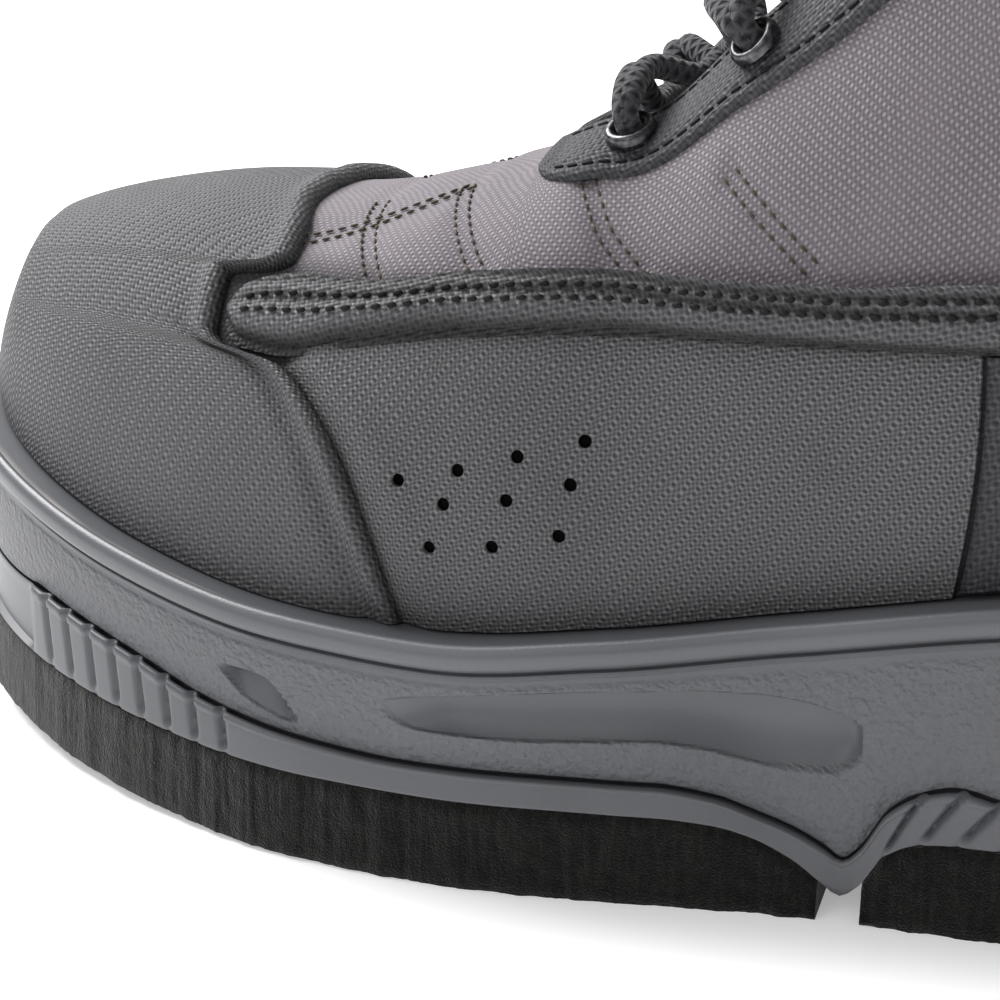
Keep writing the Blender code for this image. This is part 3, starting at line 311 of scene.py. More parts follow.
def arch_beside_ridge(row, distance, outset):
    row, distance = np.broadcast_arrays(np.asarray(row, float), distance)
    low, high = np.full(row.shape, 0.5), np.ones(row.shape)
    for _ in range(HALVINGS):
        middle = (low + high) / 2
        far = form_point(row, middle, INNER, outset)[..., 1]
        near = form_point(row, middle, OUTER, outset)[..., 1]
        wide = far - near > 2 * distance
        low, high = np.where(wide, middle, low), np.where(wide, high, middle)
    return high


def arches_down(rows, lengths):
    """For each row, arch shares at these lengths down its section from the edge of the throat."""
    rows = np.atleast_1d(rows)
    edge = arch_beside_ridge(rows, throat_half(rows), CANVAS_FACE)[:, None]
    share = edge + (0.2 - edge) * np.linspace(0, 1, 80)
    points = form_point(rows[:, None], share, OUTER, CANVAS_FACE)
    run = np.linalg.norm(np.diff(points, axis=1), axis=2).cumsum(axis=1)
    run = np.concatenate((np.zeros((len(rows), 1)), run), axis=1)
    return np.array([np.interp(lengths, *section) for section in zip(run, share)])


def upper_arches(rows, below_steps, stay_steps):
    """Arch heights over rows of the upper: up to the stay, then across it to the throat."""
    stay = arches_down(rows, STAY_WIDTH * np.linspace(1, 0, stay_steps + 1))
    rows = rows[:, None]
    below = arch_spread(np.linspace(0, 1, below_steps + 1), rows)[:, :-1] * stay[:, :1]
    whole = arch_spread(np.linspace(0, 1, below_steps + stay_steps + 1), rows)
    blend = np.clip(rows - 2, 0, 1)
    return whole * (1 - blend) + np.concatenate((below, stay), axis=1) * blend


def cloth_map(points):
    """Lengths over a grid of points in millimetres, along its rows and up its columns."""
    along = np.linalg.norm(np.diff(points, axis=0), axis=2).cumsum(axis=0)
    up = np.linalg.norm(np.diff(points, axis=1), axis=2).cumsum(axis=1)
    along = np.concatenate((np.zeros_like(along[:1]), along)) / MM
    up = np.concatenate((np.zeros_like(up[:, :1]), up), axis=1) / MM
    anchor = int(0.45 * points.shape[1])
    return np.stack((along, up - up[:, anchor:anchor + 1]), axis=-1)


def hung_map(points):
    """Lengths over a grid of points in millimetres, level along the boot and up its side."""
    up = np.hypot(np.diff(points[..., 1], axis=1), np.diff(points[..., 2], axis=1)).cumsum(axis=1)
    up = np.concatenate((np.zeros_like(up[:, :1]), up), axis=1)
    anchor = points.shape[1] // 2
    up = up - up[:, anchor:anchor + 1] + points[:, anchor:anchor + 1, 2]
    return np.stack((points[..., 0], up), axis=-1) / MM


def sewn_shell(name, sheets, finish, shares=None, lay=cloth_map):
    """A wall from sheets of (outer grid, inner grid, side), merged where they meet and closed round
    its edges. shares holds one value for each outer point, kept as an attribute that darkens the colour as
    painted shade."""
    points, faces, marks, maps, inside = [], [], [], [], []
    total = 0
    for number, (outer, inner, side) in enumerate(sheets):
        rows, columns = outer.shape[:2]
        count = rows * columns
        index = total + np.arange(count).reshape(rows, columns)
        quads = np.stack((index[:-1, :-1], index[:-1, 1:], index[1:, 1:], index[1:, :-1]), axis=-1)
        quads = quads.reshape(-1, 4)[:, ::1 if side == OUTER else -1]
        faces += [quads, (quads + count)[:, ::-1]]
        points += [outer.reshape(-1, 3), inner.reshape(-1, 3)]
        maps += [lay(outer).reshape(-1, 2)] * 2
        marks += [np.zeros(count) if shares is None else shares[number].reshape(-1)] * 2
        inside += [np.arange(count) + total + count] * 2
        total += 2 * count
    points, cloth, marks, inside = (np.concatenate(parts) for parts in (points, maps, marks, inside))
    key = {}
    merged = np.array([key.setdefault(tuple(place), number) for number, place in
                       enumerate(np.round(points / (0.01 * MM)).astype(int).tolist())])
    outer_faces = np.concatenate(faces[0::2])
    edges = {}
    for face, original in zip(merged[outer_faces].tolist(), outer_faces.tolist()):
        for k in range(4):
            a, b = face[k], face[(k + 1) % 4]
            if a != b:
                edges[(a, b)] = (original[k], original[(k + 1) % 4])
    rims = [(b, a, inside[a], inside[b]) for (start, end), (a, b) in edges.items()
            if (end, start) not in edges]
    every = np.concatenate((*faces, np.array(rims, int).reshape(-1, 4)))
    clean, corners = [], []
    for face in every.tolist():
        seen, kept = [], []
        for corner in face:
            if merged[corner] not in seen:
                seen.append(int(merged[corner]))
                kept.append(corner)
        if len(seen) > 2:
            clean.append(seen)
            corners += kept
    mesh = bpy.data.meshes.new(name)
    mesh.from_pydata(points.tolist(), [], clean)
    layer = mesh.uv_layers.new(name="cloth")
    layer.data.foreach_set("uv", cloth[corners].reshape(-1))
    painted_shade = mesh.attributes.new("painted_shade", "FLOAT", "POINT")
    painted_shade.data.foreach_set("value", marks)
    work = bmesh.new()
    work.from_mesh(mesh)
    bmesh.ops.delete(work, geom=[point for point in work.verts if not point.link_faces], context="VERTS")
    work.to_mesh(mesh)
    work.free()
    return finished(name, mesh, finish)


def both_sides(rows, arches, face, back):
    """Sheets of one wall for the outer and the inner side, from how far its two faces stand out."""
    return [(form_point(rows, arches, side, face), form_point(rows, arches, side, back), side)
            for side in (OUTER, INNER)]


def finished(name, mesh, finish):
    """Shade a piece's mesh smooth, give it its finish and let it ride on the boot."""
    mesh.shade_smooth()
    mesh.set_sharp_from_angle(angle=SHARP_EDGE)
    mesh.materials.clear()
    mesh.materials.append(finish)
    piece = bpy.data.objects.new(name, mesh)
    bpy.context.scene.collection.objects.link(piece)
    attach(piece, "root")
    return piece


class Wire:
    """One output socket of a material, so that shader maths reads as an expression."""

    def __init__(self, tree, socket=None):
        self.tree = tree
        self.socket = socket

    def node(self, kind, sockets=(), output=0, stops=(), **settings):
        """Any node: its settings first, then the values or links of its sockets."""
        made = self.tree.nodes.new(kind)
        for setting, value in settings.items():
            setattr(made, setting, value)
        while len(stops) > len(made.color_ramp.elements if stops else ()):
            made.color_ramp.elements.new(1.0)
        for place, stop in enumerate(stops):
            made.color_ramp.elements[place].position = stop[0]
            made.color_ramp.elements[place].color = (*stop[1], 1)
        for key, value in dict(sockets).items():
            if isinstance(value, Wire):
                self.tree.links.new(value.socket, made.inputs[key])
            else:
                made.inputs[key].default_value = value
        return Wire(self.tree, made.outputs[output])

    def maths(self, operation, first, second=0.0):
        return self.node("ShaderNodeMath", {0: first, 1: second}, operation=operation)

    def __add__(self, other):
        return self.maths("ADD", self, other)

    __radd__ = __add__

    def __sub__(self, other):
        return self.maths("SUBTRACT", self, other)

    def __rsub__(self, other):
        return self.maths("SUBTRACT", other, self)

    def __mul__(self, other):
        return self.maths("MULTIPLY", self, other)

    __rmul__ = __mul__

    def clamp(self):
        return self.node("ShaderNodeClamp", {0: self})

    def mixed(self, first, second):
        """A colour between two others, by this wire as the share."""
        return self.node("ShaderNodeMix", {0: self, 6: first, 7: second}, output=2, data_type="RGBA")

    def noise(self, place, scale, detail, output=0):
        return self.node("ShaderNodeTexNoise", {"Vector": place, "Scale": scale, "Detail": detail}, output)

    def feed(self, shader, socket):
        self.tree.links.new(self.socket, shader.inputs[socket])

    def bump(self, shader, strength, depth):
        """Lets this height raise the surface, by depth at most."""
        raised = self.node("ShaderNodeBump", {"Strength": strength, "Distance": depth, "Height": self})
        raised.feed(shader, "Normal")


def new_finish(name, roughness, specular=0.5, sheen=0.0):
    """A material, its first wire and its shader, with the values that are the same all over."""
    made = bpy.data.materials.new(name)
    made.use_nodes = True
    shader = made.node_tree.nodes["Principled BSDF"]
    shader.inputs["Roughness"].default_value = roughness
    shader.inputs["Specular IOR Level"].default_value = specular
    shader.inputs["Sheen Weight"].default_value = sheen
    return made, Wire(made.node_tree), shader


def linear(red, green, blue):
    """A colour given in a display's steps, 0 to 255, as the shader reads it."""
    return (*((channel / 255) ** 2.2 for channel in (red, green, blue)), 1)


def toned(colour, share):
    """A colour made darker or paler by a share."""
    return (*(channel * share for channel in colour[:3]), 1)


def canvas_cloth(name, yarn, gap_colour, fleck, pitch=0.66, depth=0.16):
    """A plain weave of two-tone yarn. pitch is the yarn's in millimetres, depth the bump's."""
    made, wire, shader = new_finish(name, 0.85, specular=0.25, sheen=0.15)
    cloth = wire.node("ShaderNodeUVMap", uv_map="cloth")
    wander = wire.noise(cloth, 0.35, 2.0, output=1)
    shifted = wire.node("ShaderNodeVectorMath", {0: wander, 1: (0.5, 0.5, 0.5)}, operation="SUBTRACT")
    place = wire.node("ShaderNodeVectorMath", {0: shifted, 1: (0.5, 0.5, 0.5), 2: cloth},
                      operation="MULTIPLY_ADD")
    turned = wire.node("ShaderNodeMapping", {"Vector": place, "Rotation": (0, 0, 0.16)})
    across = wire.node("ShaderNodeSeparateXYZ", {0: turned})
    up = Wire(wire.tree, across.socket.node.outputs[1])
    warp = wire.maths("SINE", across * (math.pi / pitch))
    weft = wire.maths("SINE", up * (math.pi / pitch))
    knots = warp * weft
    ridges = wire.maths("ABSOLUTE", warp) * 0.5 + wire.maths("ABSOLUTE", weft) * 0.5
    height = knots * 0.5 + ridges
    share = (height * 0.75).clamp()
    tone = wire.noise(cloth, 0.9, 3.0)
    patches = wire.noise(cloth, 0.06, 2.0)
    colour = share.mixed(gap_colour, yarn)
    colour = ((tone - 0.35) * 1.1).clamp().mixed(colour, (share * 0.8).clamp().mixed(gap_colour, fleck))
    colour = ((patches - 0.45) * 1.2).clamp().mixed(colour, fleck)
    # Painted shade: the attribute darkens the cloth towards a deep tone of its gap colour.
    painted_shade = wire.node("ShaderNodeAttribute", output=2, attribute_name="painted_shade")
    colour = painted_shade.mixed(colour, toned(gap_colour, 0.2))
    colour.feed(shader, "Base Color")
    height.bump(shader, 0.7, depth * MM)
    return made


def dense(places, parts):
    """Places with each span between them cut into equal parts."""
    spans = len(places) - 1
    return np.interp(np.linspace(0, spans, spans * parts + 1), np.arange(spans + 1), places)


# Rows of the canvas's mesh, closest together at the toe, round the foot of the throat and at the heel
UPPER_ROWS = np.concatenate((dense(np.linspace(0, 1, 9) ** 1.8, 2), np.linspace(1, 2.6, 9)[1:],
                             np.linspace(2.6, THROAT_ROW, 44)[1:],
                             THROAT_ROW + THROAT_ROUNDING * np.linspace(0, 1, 15)[1:] ** 2,
                             np.linspace(THROAT_ROW + THROAT_ROUNDING, 6.6, 44)[1:],
                             np.linspace(6.6, HEEL_BEND_ROW, 24)[1:],
                             HEEL_ROW - (HEEL_ROW - HEEL_BEND_ROW) * np.linspace(1, 0, 17)[1:] ** HEEL_POWER,
                             np.linspace(HEEL_ROW, COLLAR_ROW, 32)[1:]))
# Double lines of stitches on the canvas, each from one row and arch to another
CANVAS_LINES = ((3.41, 0.842, 3.14, 0.990), (3.75, 0.985, 4.11, 0.810), (4.75, 0.915, 5.24, 0.700),
                (5.87, 0.776, 6.35, 0.570), (2.78, 0.936, 3.75, 0.985))

canvas_finish = canvas_cloth("grey_canvas", linear(154, 147, 153), linear(76, 72, 76), linear(124, 117, 123))
ROW_LENGTH = 25 * MM
ARCH_LENGTH = 62 * MM
QUILT_DIP = 0.6 * MM
QUILT_WIDTH = 2.2 * MM
QUILT_PUFF = 0.35 * MM
PUFF_ROW, PUFF_REACH = 4.6, 1.6
VAMP_SWELL = 1.3 * MM
SWELL_ROW, SWELL_REACH = 3.5, 0.55
PANEL_TOP_HEIGHT = 84 * MM
COVERED_ROW = 2.75
COVERED_SHADE = 0.85


def vamp_swell(rows, arches):
    """How far the cloth of the vamp stands up along the ridge, behind the toe cap."""
    return VAMP_SWELL * bell(rows - SWELL_ROW, SWELL_REACH) * eased((arches - 0.7) / 0.2)


upper_share = upper_arches(UPPER_ROWS, 42, 10)
drawn_in = np.zeros(upper_share.shape)
for row_a, arch_a, row_b, arch_b in CANVAS_LINES:
    run = np.array(((row_b - row_a) * ROW_LENGTH, (arch_b - arch_a) * ARCH_LENGTH))
    away = np.stack(((UPPER_ROWS[:, None] - row_a) * ROW_LENGTH + 0 * upper_share,
                     (upper_share - arch_a) * ARCH_LENGTH), axis=-1)
    along = np.clip(away @ run / (run @ run), 0, 1)[..., None]
    drawn_in = np.maximum(drawn_in, bell(np.linalg.norm(away - along * run, axis=-1), QUILT_WIDTH))
vamp = bell(UPPER_ROWS[:, None] - PUFF_ROW, PUFF_REACH) * eased((upper_share - 0.6) / 0.1)
canvas_face = CANVAS_FACE - QUILT_DIP * drawn_in + QUILT_PUFF * vamp * (1 - drawn_in)
canvas_face = canvas_face + vamp_swell(UPPER_ROWS[:, None], upper_share)
upper_sheets = both_sides(UPPER_ROWS[:, None], upper_share, canvas_face, CANVAS_FACE - CANVAS_WALL)
# Painted shade: the canvas is darkened where the side panels and the toe cap cover it.
under_panels = np.clip((PANEL_TOP_HEIGHT - upper_sheets[0][0][..., 2]) / (3 * MM), 0, 1)
under_cap = np.clip((COVERED_ROW - UPPER_ROWS) / 0.1, 0, 1)[:, None]
covered = np.maximum(under_panels * (UPPER_ROWS < HEEL_BEND_ROW)[:, None], under_cap)
upper = sewn_shell("upper_canvas", upper_sheets, canvas_finish, [COVERED_SHADE * covered] * 2)
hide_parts("upper")


# The toe cap: rubberised weave moulded over the toe box, its edge folded under and sewn down. It
# stands 2 to 3 mm over the side panel, with a soft trough along its edge.
CAP_FACE = -0.5 * MM
CAP_FOLD = 1.9 * MM
CAP_TROUGH = 1.0 * MM
CAP_TROUGH_IN, CAP_TROUGH_WIDTH = 5.5 * MM, 2.2 * MM
CAP_SWELL = 0.9 * MM
CAP_SWELL_IN, CAP_SWELL_WIDTH = 2.4 * MM, 1.7 * MM
CAP_COLUMNS = 72
CAP_SEAM = Table(
    "arch  row",
    (0.000, 3.82),
    (0.240, 3.60),
    (0.420, 3.41),
    (0.560, 3.17),
    (0.640, 2.94),
    (0.668, 2.52),
    (0.700, 2.44),
    (0.842, 2.42),
    (0.864, 2.74),
    (0.885, 2.83),
    (0.950, 2.79),
    (1.000, 2.66))


# Waves that add up to the knobs of the weave: turns per millimetre along and up the cloth, and weight
KNOB_WAVES = (((0.173, 1.225), 1.0), ((-0.289, 0.890), 1.0), ((-0.752, 0.555), 1.0),
              ((-1.214, 0.220), 1.0), ((0.462, 0.335), 0.5))


def rubberised_weave(name, thread, gap_colour, depth=0.224, fineness=1.0):
    """A coated coarse weave: low oval knobs in a slanting lattice. depth is the bump's, in millimetres."""
    made, wire, shader = new_finish(name, 0.62, specular=0.35)
    cloth = wire.node("ShaderNodeUVMap", uv_map="cloth")
    wander = wire.noise(cloth, 0.2, 2.0, output=1)
    shifted = wire.node("ShaderNodeVectorMath", {0: wander, 1: (0.5, 0.5, 0.5)}, operation="SUBTRACT")
    place = wire.node("ShaderNodeVectorMath", {0: shifted, 1: (1.2, 1.2, 1.2), 2: cloth},
                      operation="MULTIPLY_ADD")
    height = None
    for (turns_along, turns_up), weight in KNOB_WAVES:
        turns = (turns_along * fineness, -turns_up * fineness, 0)
        along = wire.node("ShaderNodeVectorMath", {0: place, 1: turns}, output=1, operation="DOT_PRODUCT")
        wave = wire.maths("COSINE", along * (2 * math.pi)) * weight
        height = wave if height is None else height + wave
    share = (height * 0.3 + 0.42).clamp()
    grain = wire.noise(cloth, 6.0, 2.0)
    patches = wire.noise(cloth, 0.045, 3.0)
    colour = (share * 0.8 + grain * 0.25).clamp().mixed(gap_colour, thread)
    colour = ((patches - 0.5) * 0.9).clamp().mixed(colour, gap_colour)
    # Painted shade: the attribute darkens the weave towards a deep tone of its gap colour.
    painted_shade = wire.node("ShaderNodeAttribute", output=2, attribute_name="painted_shade")
    colour = painted_shade.mixed(colour, toned(gap_colour, 0.25))
    colour.feed(shader, "Base Color")
    rough = 0.55 + (1 - share) * 0.2
    rough.feed(shader, "Roughness")
    relief = height * 0.3 + grain * 0.3
    relief.bump(shader, 0.9, depth * MM)
    return made


weave_finish = rubberised_weave("rubberised_weave", linear(112, 112, 114), linear(58, 58, 60))
cap_share = np.concatenate((dense(np.linspace(0, 1, 9) ** 1.8, 3) * 0.4, np.linspace(0.4, 1, 60)[1:]))
cap_columns = np.linspace(0, 1, CAP_COLUMNS)
seam_arch = np.interp(cap_columns, np.linspace(0, 1, len(CAP_SEAM.places)), CAP_SEAM.places)
even_arch = arch_spread(cap_columns, 0)
cap_blend = eased((cap_share - 0.45) / 0.5)[:, None]
cap_arches = even_arch * (1 - cap_blend) + seam_arch * cap_blend
cap_rows = cap_share[:, None] * CAP_SEAM.read("row", cap_arches)
inward = (CAP_SEAM.read("row", cap_arches) - cap_rows) * ROW_LENGTH
under_face = CANVAS_FACE + LAYER_GAP
fold = rounded(inward + 0.05 * MM, CAP_FOLD, 2.0)
trough = bell(inward - CAP_TROUGH_IN, CAP_TROUGH_WIDTH) * eased((0.85 - cap_arches) / 0.3)
swell = bell(inward - CAP_SWELL_IN, CAP_SWELL_WIDTH) * eased((cap_arches - 0.02) / 0.1)
cap_face = under_face + (CAP_FACE - under_face) * fold - CAP_TROUGH * trough + CAP_SWELL * swell * fold
# Painted shade along the cap's folded edge, where it stands over the side panel.
cap_edge_shade = [0.8 * bell(inward, 0.9 * MM)] * 2
cap_sheets = both_sides(cap_rows, cap_arches, cap_face, under_face)
toe_cap = sewn_shell("toe_cap_moulded", cap_sheets, weave_finish, cap_edge_shade)
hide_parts("toe_cap")


# The side panels: the same rubberised weave, cut from the toe cap to the rear quarter and up under
# the padded strip. Ten punched drain holes let the water out of the outer one.
PANEL_FACE = -1.2 * MM
PANEL_FRONT_ROW = 2.95
PANEL_STEPS = (180, 84)
PANEL_HEIGHT = 50 * MM
SEAM_PINCH, SEAM_PINCH_WIDTH = 0.6 * MM, 2.6 * MM
STRIP_PINCH, STRIP_PINCH_WIDTH = 0.25 * MM, 1.8 * MM
SOLE_PINCH, SOLE_PINCH_WIDTH = 0.125 * MM, 1.6 * MM
PANEL_SWELL, PANEL_SWELL_IN, PANEL_SWELL_WIDTH = 0.45 * MM, 6 * MM, 3 * MM
HOLE_RADIUS = 0.95 * MM
HOLE_SIDES = 20
PUNCH_REACH = 3 * MM
# Near-black discs behind the drain holes, painted shade inside each hole: radius, thickness and lift.
SHADE_DISK_RADIUS = 1.52 * MM
SHADE_DISK_WALL = 0.1 * MM
SHADE_DISK_LIFT = 0.2 * MM
STRIP = Table(
    "row  low  high",
    (2.50, 0.716, 0.736),
    (2.62, 0.694, 0.764),
    (2.90, 0.690, 0.778),
    (3.40, 0.712, 0.782),
    (4.10, 0.734, 0.804),
    (4.90, 0.744, 0.818),
    (5.70, 0.744, 0.816),
    (6.50, 0.745, 0.818),
    (7.40, 0.750, 0.832),
    (9.00, 0.770, 0.850),
    (11.0, 0.800, 0.880),
    (13.0, 0.810, 0.890))
COUNTER_SEAM = Table(
    "arch  row",
    (0.00, 6.81),
    (0.15, 7.02),
    (0.29, 7.20),
    (0.50, 7.45))
DRAIN_HOLES = ((3.80, 0.368), (4.17, 0.382), (4.54, 0.385), (4.96, 0.391), (4.09, 0.307),
               (4.48, 0.297), (4.87, 0.307), (4.01, 0.205), (4.40, 0.200), (4.80, 0.205))


def arch_at_height(row, height):
    low = form_point(row, 0.0, OUTER, 0.0)[..., 2]
    high = form_point(row, 1.0, OUTER, 0.0)[..., 2]
    return np.clip((height - low) / (high - low), 0, 1)


def panel_grid(along_steps, up_steps):
    """Rows and arch heights over a side panel, from its front edge to the rear quarter."""
    along = np.linspace(0, 1, along_steps)[:, None]
    arches = np.broadcast_to(np.linspace(0.01, 0.66, up_steps), (along_steps, up_steps)).copy()
    for _ in range(5):
        front = np.maximum(CAP_SEAM.read("row", arches), PANEL_FRONT_ROW) - 0.02
        rows = front * (1 - along) + (COUNTER_SEAM.read("row", arches) - 0.03) * along
        top = arch_at_height(rows[:, -1], INSTEP_HEIGHT * STRIP.read("low", rows[:, -1]) + 0.8 * MM)
        arches = 0.002 + (top[:, None] - 0.002) * np.linspace(0, 1, up_steps)
    return rows, arches


def facing(row, arch, side, outset):
    """A place on the form and the direction that it faces."""
    near = 0.01
    centre = form_point(row, arch, side, outset)
    along = form_point(row + near, arch, side, outset) - form_point(row - near, arch, side, outset)
    across = form_point(row, arch + near, side, outset) - form_point(row, arch - near, side, outset)
    return Vector(centre), Vector(np.cross(across, along) * -side).normalized()


def seated(place, normal):
    """The transform that puts a small piece at a place, with its Z along the normal."""
    return Matrix.Translation(place) @ normal.to_track_quat("Z", "X").to_matrix().to_4x4()


def rods(name, places, radius, reach):
    """Short rods at these places, each turned to face out of the form."""
    work = bmesh.new()
    for centre, normal in places:
        bmesh.ops.create_cone(work, cap_ends=True, segments=HOLE_SIDES, radius1=radius, radius2=radius,
                              depth=reach, matrix=seated(centre, normal))
    mesh = bpy.data.meshes.new(name)
    work.to_mesh(mesh)
    work.free()
    return mesh


def punch_drain_holes(panel):
    """Cuts the holes through the panel, and sets a near-black disc behind each one as painted shade inside
    the hole.
    """
    places = [facing(row, arch, OUTER, PANEL_FACE) for row, arch in DRAIN_HOLES]
    places = [(centre, -normal if normal[1] > 0 else normal) for centre, normal in places]
    punch = bpy.data.objects.new("drain_punch", rods("drain_punch", places, HOLE_RADIUS, PUNCH_REACH))
    bpy.context.scene.collection.objects.link(punch)
    cut = panel.modifiers.new("drain_holes", "BOOLEAN")
    cut.operation = "DIFFERENCE"
    cut.object = punch
    graph = bpy.context.evaluated_depsgraph_get()
    punched = bpy.data.meshes.new_from_object(panel.evaluated_get(graph))
    panel.modifiers.remove(cut)
    panel.data = punched
    bpy.data.objects.remove(punch)
    down = PANEL_FACE - CANVAS_FACE - SHADE_DISK_LIFT
    shade_disk_places = [(centre - normal * down, normal) for centre, normal in places]
    disks = rods("drain_hole_shade_disks", shade_disk_places, SHADE_DISK_RADIUS, SHADE_DISK_WALL)
    hole_shade_piece = finished("drain_hole_shade_disks", disks, hole_shade_finish)


# Finish of the near-black discs: painted shade inside the drain holes.
hole_shade_finish, hole_shade_wire, hole_shade_shader = new_finish("drain_hole_shade", 0.9, specular=0.1)
hole_shade_place = hole_shade_wire.node("ShaderNodeTexCoord", output=3)
hole_shade_grain = hole_shade_wire.noise(hole_shade_place, 6 / MM, 2.0)
hole_shade_grain.mixed(linear(8, 8, 9), linear(22, 22, 23)).feed(hole_shade_shader, "Base Color")
panel_finish = rubberised_weave("fine_weave", linear(122, 122, 124), linear(50, 50, 52), depth=0.176,
                                fineness=1.22)
panel_rows, panel_arches = panel_grid(*PANEL_STEPS)
for side, side_name in ((OUTER, "outer"), (INNER, "inner")):
    seam_away = (panel_rows - np.maximum(CAP_SEAM.read("row", panel_arches), PANEL_FRONT_ROW)) * ROW_LENGTH
    strip_low = INSTEP_HEIGHT * STRIP.read("low", panel_rows)
    strip_away = strip_low - form_point(panel_rows, panel_arches, side, PANEL_FACE)[..., 2]
    drawn = STRIP_PINCH * bell(strip_away, STRIP_PINCH_WIDTH)
    drawn += SOLE_PINCH * bell(panel_arches * PANEL_HEIGHT, SOLE_PINCH_WIDTH)
    drawn += SEAM_PINCH * bell(seam_away, SEAM_PINCH_WIDTH)
    bulge = PANEL_SWELL * bell(seam_away - PANEL_SWELL_IN, PANEL_SWELL_WIDTH)
    panel_face = np.minimum(PANEL_FACE - drawn + bulge, CAP_FACE - 0.1 * MM)
    # Painted shade next to the toe cap's raised edge and under the padded strip's roll.
    painted_shade = 0.75 * bell(np.clip(seam_away, 0, None), 0.9 * MM)
    painted_shade += 0.55 * bell(np.clip(strip_away, 0, None), 1.0 * MM)
    sheets = both_sides(panel_rows, panel_arches, panel_face, CANVAS_FACE + LAYER_GAP)
    panel = sewn_shell(f"side_panel_{side_name}_cut", [sheet for sheet in sheets if sheet[2] == side],
                       panel_finish, [np.clip(painted_shade, 0, 1)], hung_map)
    if side == OUTER:
        punch_drain_holes(panel)
    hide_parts(f"side_panel_{side_name}")


# The padded strip: foam rolled in the same weave and laid over the tops of the panels, from the toe
# cap round the heel and back. Two rows of black thread sew it down and draw it in.
STRIP_FACE = 0.5 * MM
HEEL_EASE = 0.4 * MM
STRIP_FRONT_ROW = 2.5
STRIP_THREADS = (0.76, 0.53)
STRIP_DIP = 0.55 * MM
STRIP_DIP_WIDTH = 0.75 * MM
STRIP_ROLL = 2.6 * MM
STRIP_FOLD = 1.1 * MM
STRIP_LIFT = 0.15 * MM
THREAD_SHADE_WIDTH = 0.6 * MM


def under_overlay(row):
    return CANVAS_FACE + LAYER_GAP + HEEL_EASE * np.clip(np.asarray(row, float) - HEEL_BEND_ROW + 0.5, 0, 1)


def heel_row_at(column, clearance):
    """The section whose foot, on the back of the heel, meets an edge of the strip."""
    low, high = HEEL_ROW, COLLAR_ROW
    for _ in range(HALVINGS):
        middle = (low + high) / 2
        edge = INSTEP_HEIGHT * STRIP.read(column, middle) - clearance
        below = form_point(middle, 0.0, OUTER, 0.0)[2] < edge
        low, high = (middle, high) if below else (low, middle)
    return low


def arches_between(low, high, share, row):
    power = 1 + (HEEL_POWER - 1) * heel_blend(row)
    return (low ** (1 / power) * (1 - share) + high ** (1 / power) * share) ** power


def crowded_rows(start, end, steps):
    return end - (end - start) * np.linspace(1, 0, steps) ** HEEL_POWER


def strip_face(share, width):
    """How far the strip stands out: rolled at its foot, folded at its top, drawn in by its threads."""
    roll = rounded(share * width + 0.05 * MM, STRIP_ROLL, 2.2)
    fold = rounded((1 - share) * width + 0.05 * MM, STRIP_FOLD, 2)
    dip = sum(bell((share - thread) * width, STRIP_DIP_WIDTH) for thread in STRIP_THREADS)
    return (STRIP_FACE - CANVAS_FACE - LAYER_GAP) * roll * fold - STRIP_DIP * dip


strip_rows = np.concatenate((STRIP_FRONT_ROW + 0.35 * np.linspace(0, 1, 16)[:-1] ** 1.7,
                             np.linspace(STRIP_FRONT_ROW + 0.35, HEEL_BEND_ROW, 150),
                             crowded_rows(HEEL_BEND_ROW, HEEL_ROW, 22)[1:],
                             crowded_rows(HEEL_ROW, heel_row_at("high", 0.0), 34)[1:]))
strip_low = INSTEP_HEIGHT * STRIP.read("low", strip_rows)
strip_high = INSTEP_HEIGHT * STRIP.read("high", strip_rows)
strip_width = (strip_high - strip_low)[:, None]
strip_arches = np.array([arches_between(low, high, np.linspace(0, 1, 30), row) for low, high, row in
                         zip(arch_at_height(strip_rows, strip_low), arch_at_height(strip_rows, strip_high),
                             strip_rows)])
strip_back = under_overlay(strip_rows)[:, None]
strip_sheets, strip_shade = [], []
for side in (OUTER, INNER):
    strip_inner = form_point(strip_rows[:, None], strip_arches, side, strip_back)
    share = np.clip((strip_inner[..., 2] - strip_low[:, None]) / strip_width, 0, 1)
    face = strip_back + STRIP_LIFT + strip_face(share, strip_width)
    strip_sheets.append((form_point(strip_rows[:, None], strip_arches, side, face), strip_inner, side))
    # Painted shade in the troughs drawn in by the threads and under the roll at the strip's foot.
    dark = sum(bell((share - thread) * strip_width, THREAD_SHADE_WIDTH) for thread in STRIP_THREADS) * 0.55
    dark = dark + 0.8 * bell(share * strip_width, 0.8 * MM)
    strip_shade.append(np.clip(dark, 0, 1))
padded_strip = sewn_shell("padded_strip_rolled", strip_sheets, weave_finish, strip_shade)
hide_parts("padded_strip")


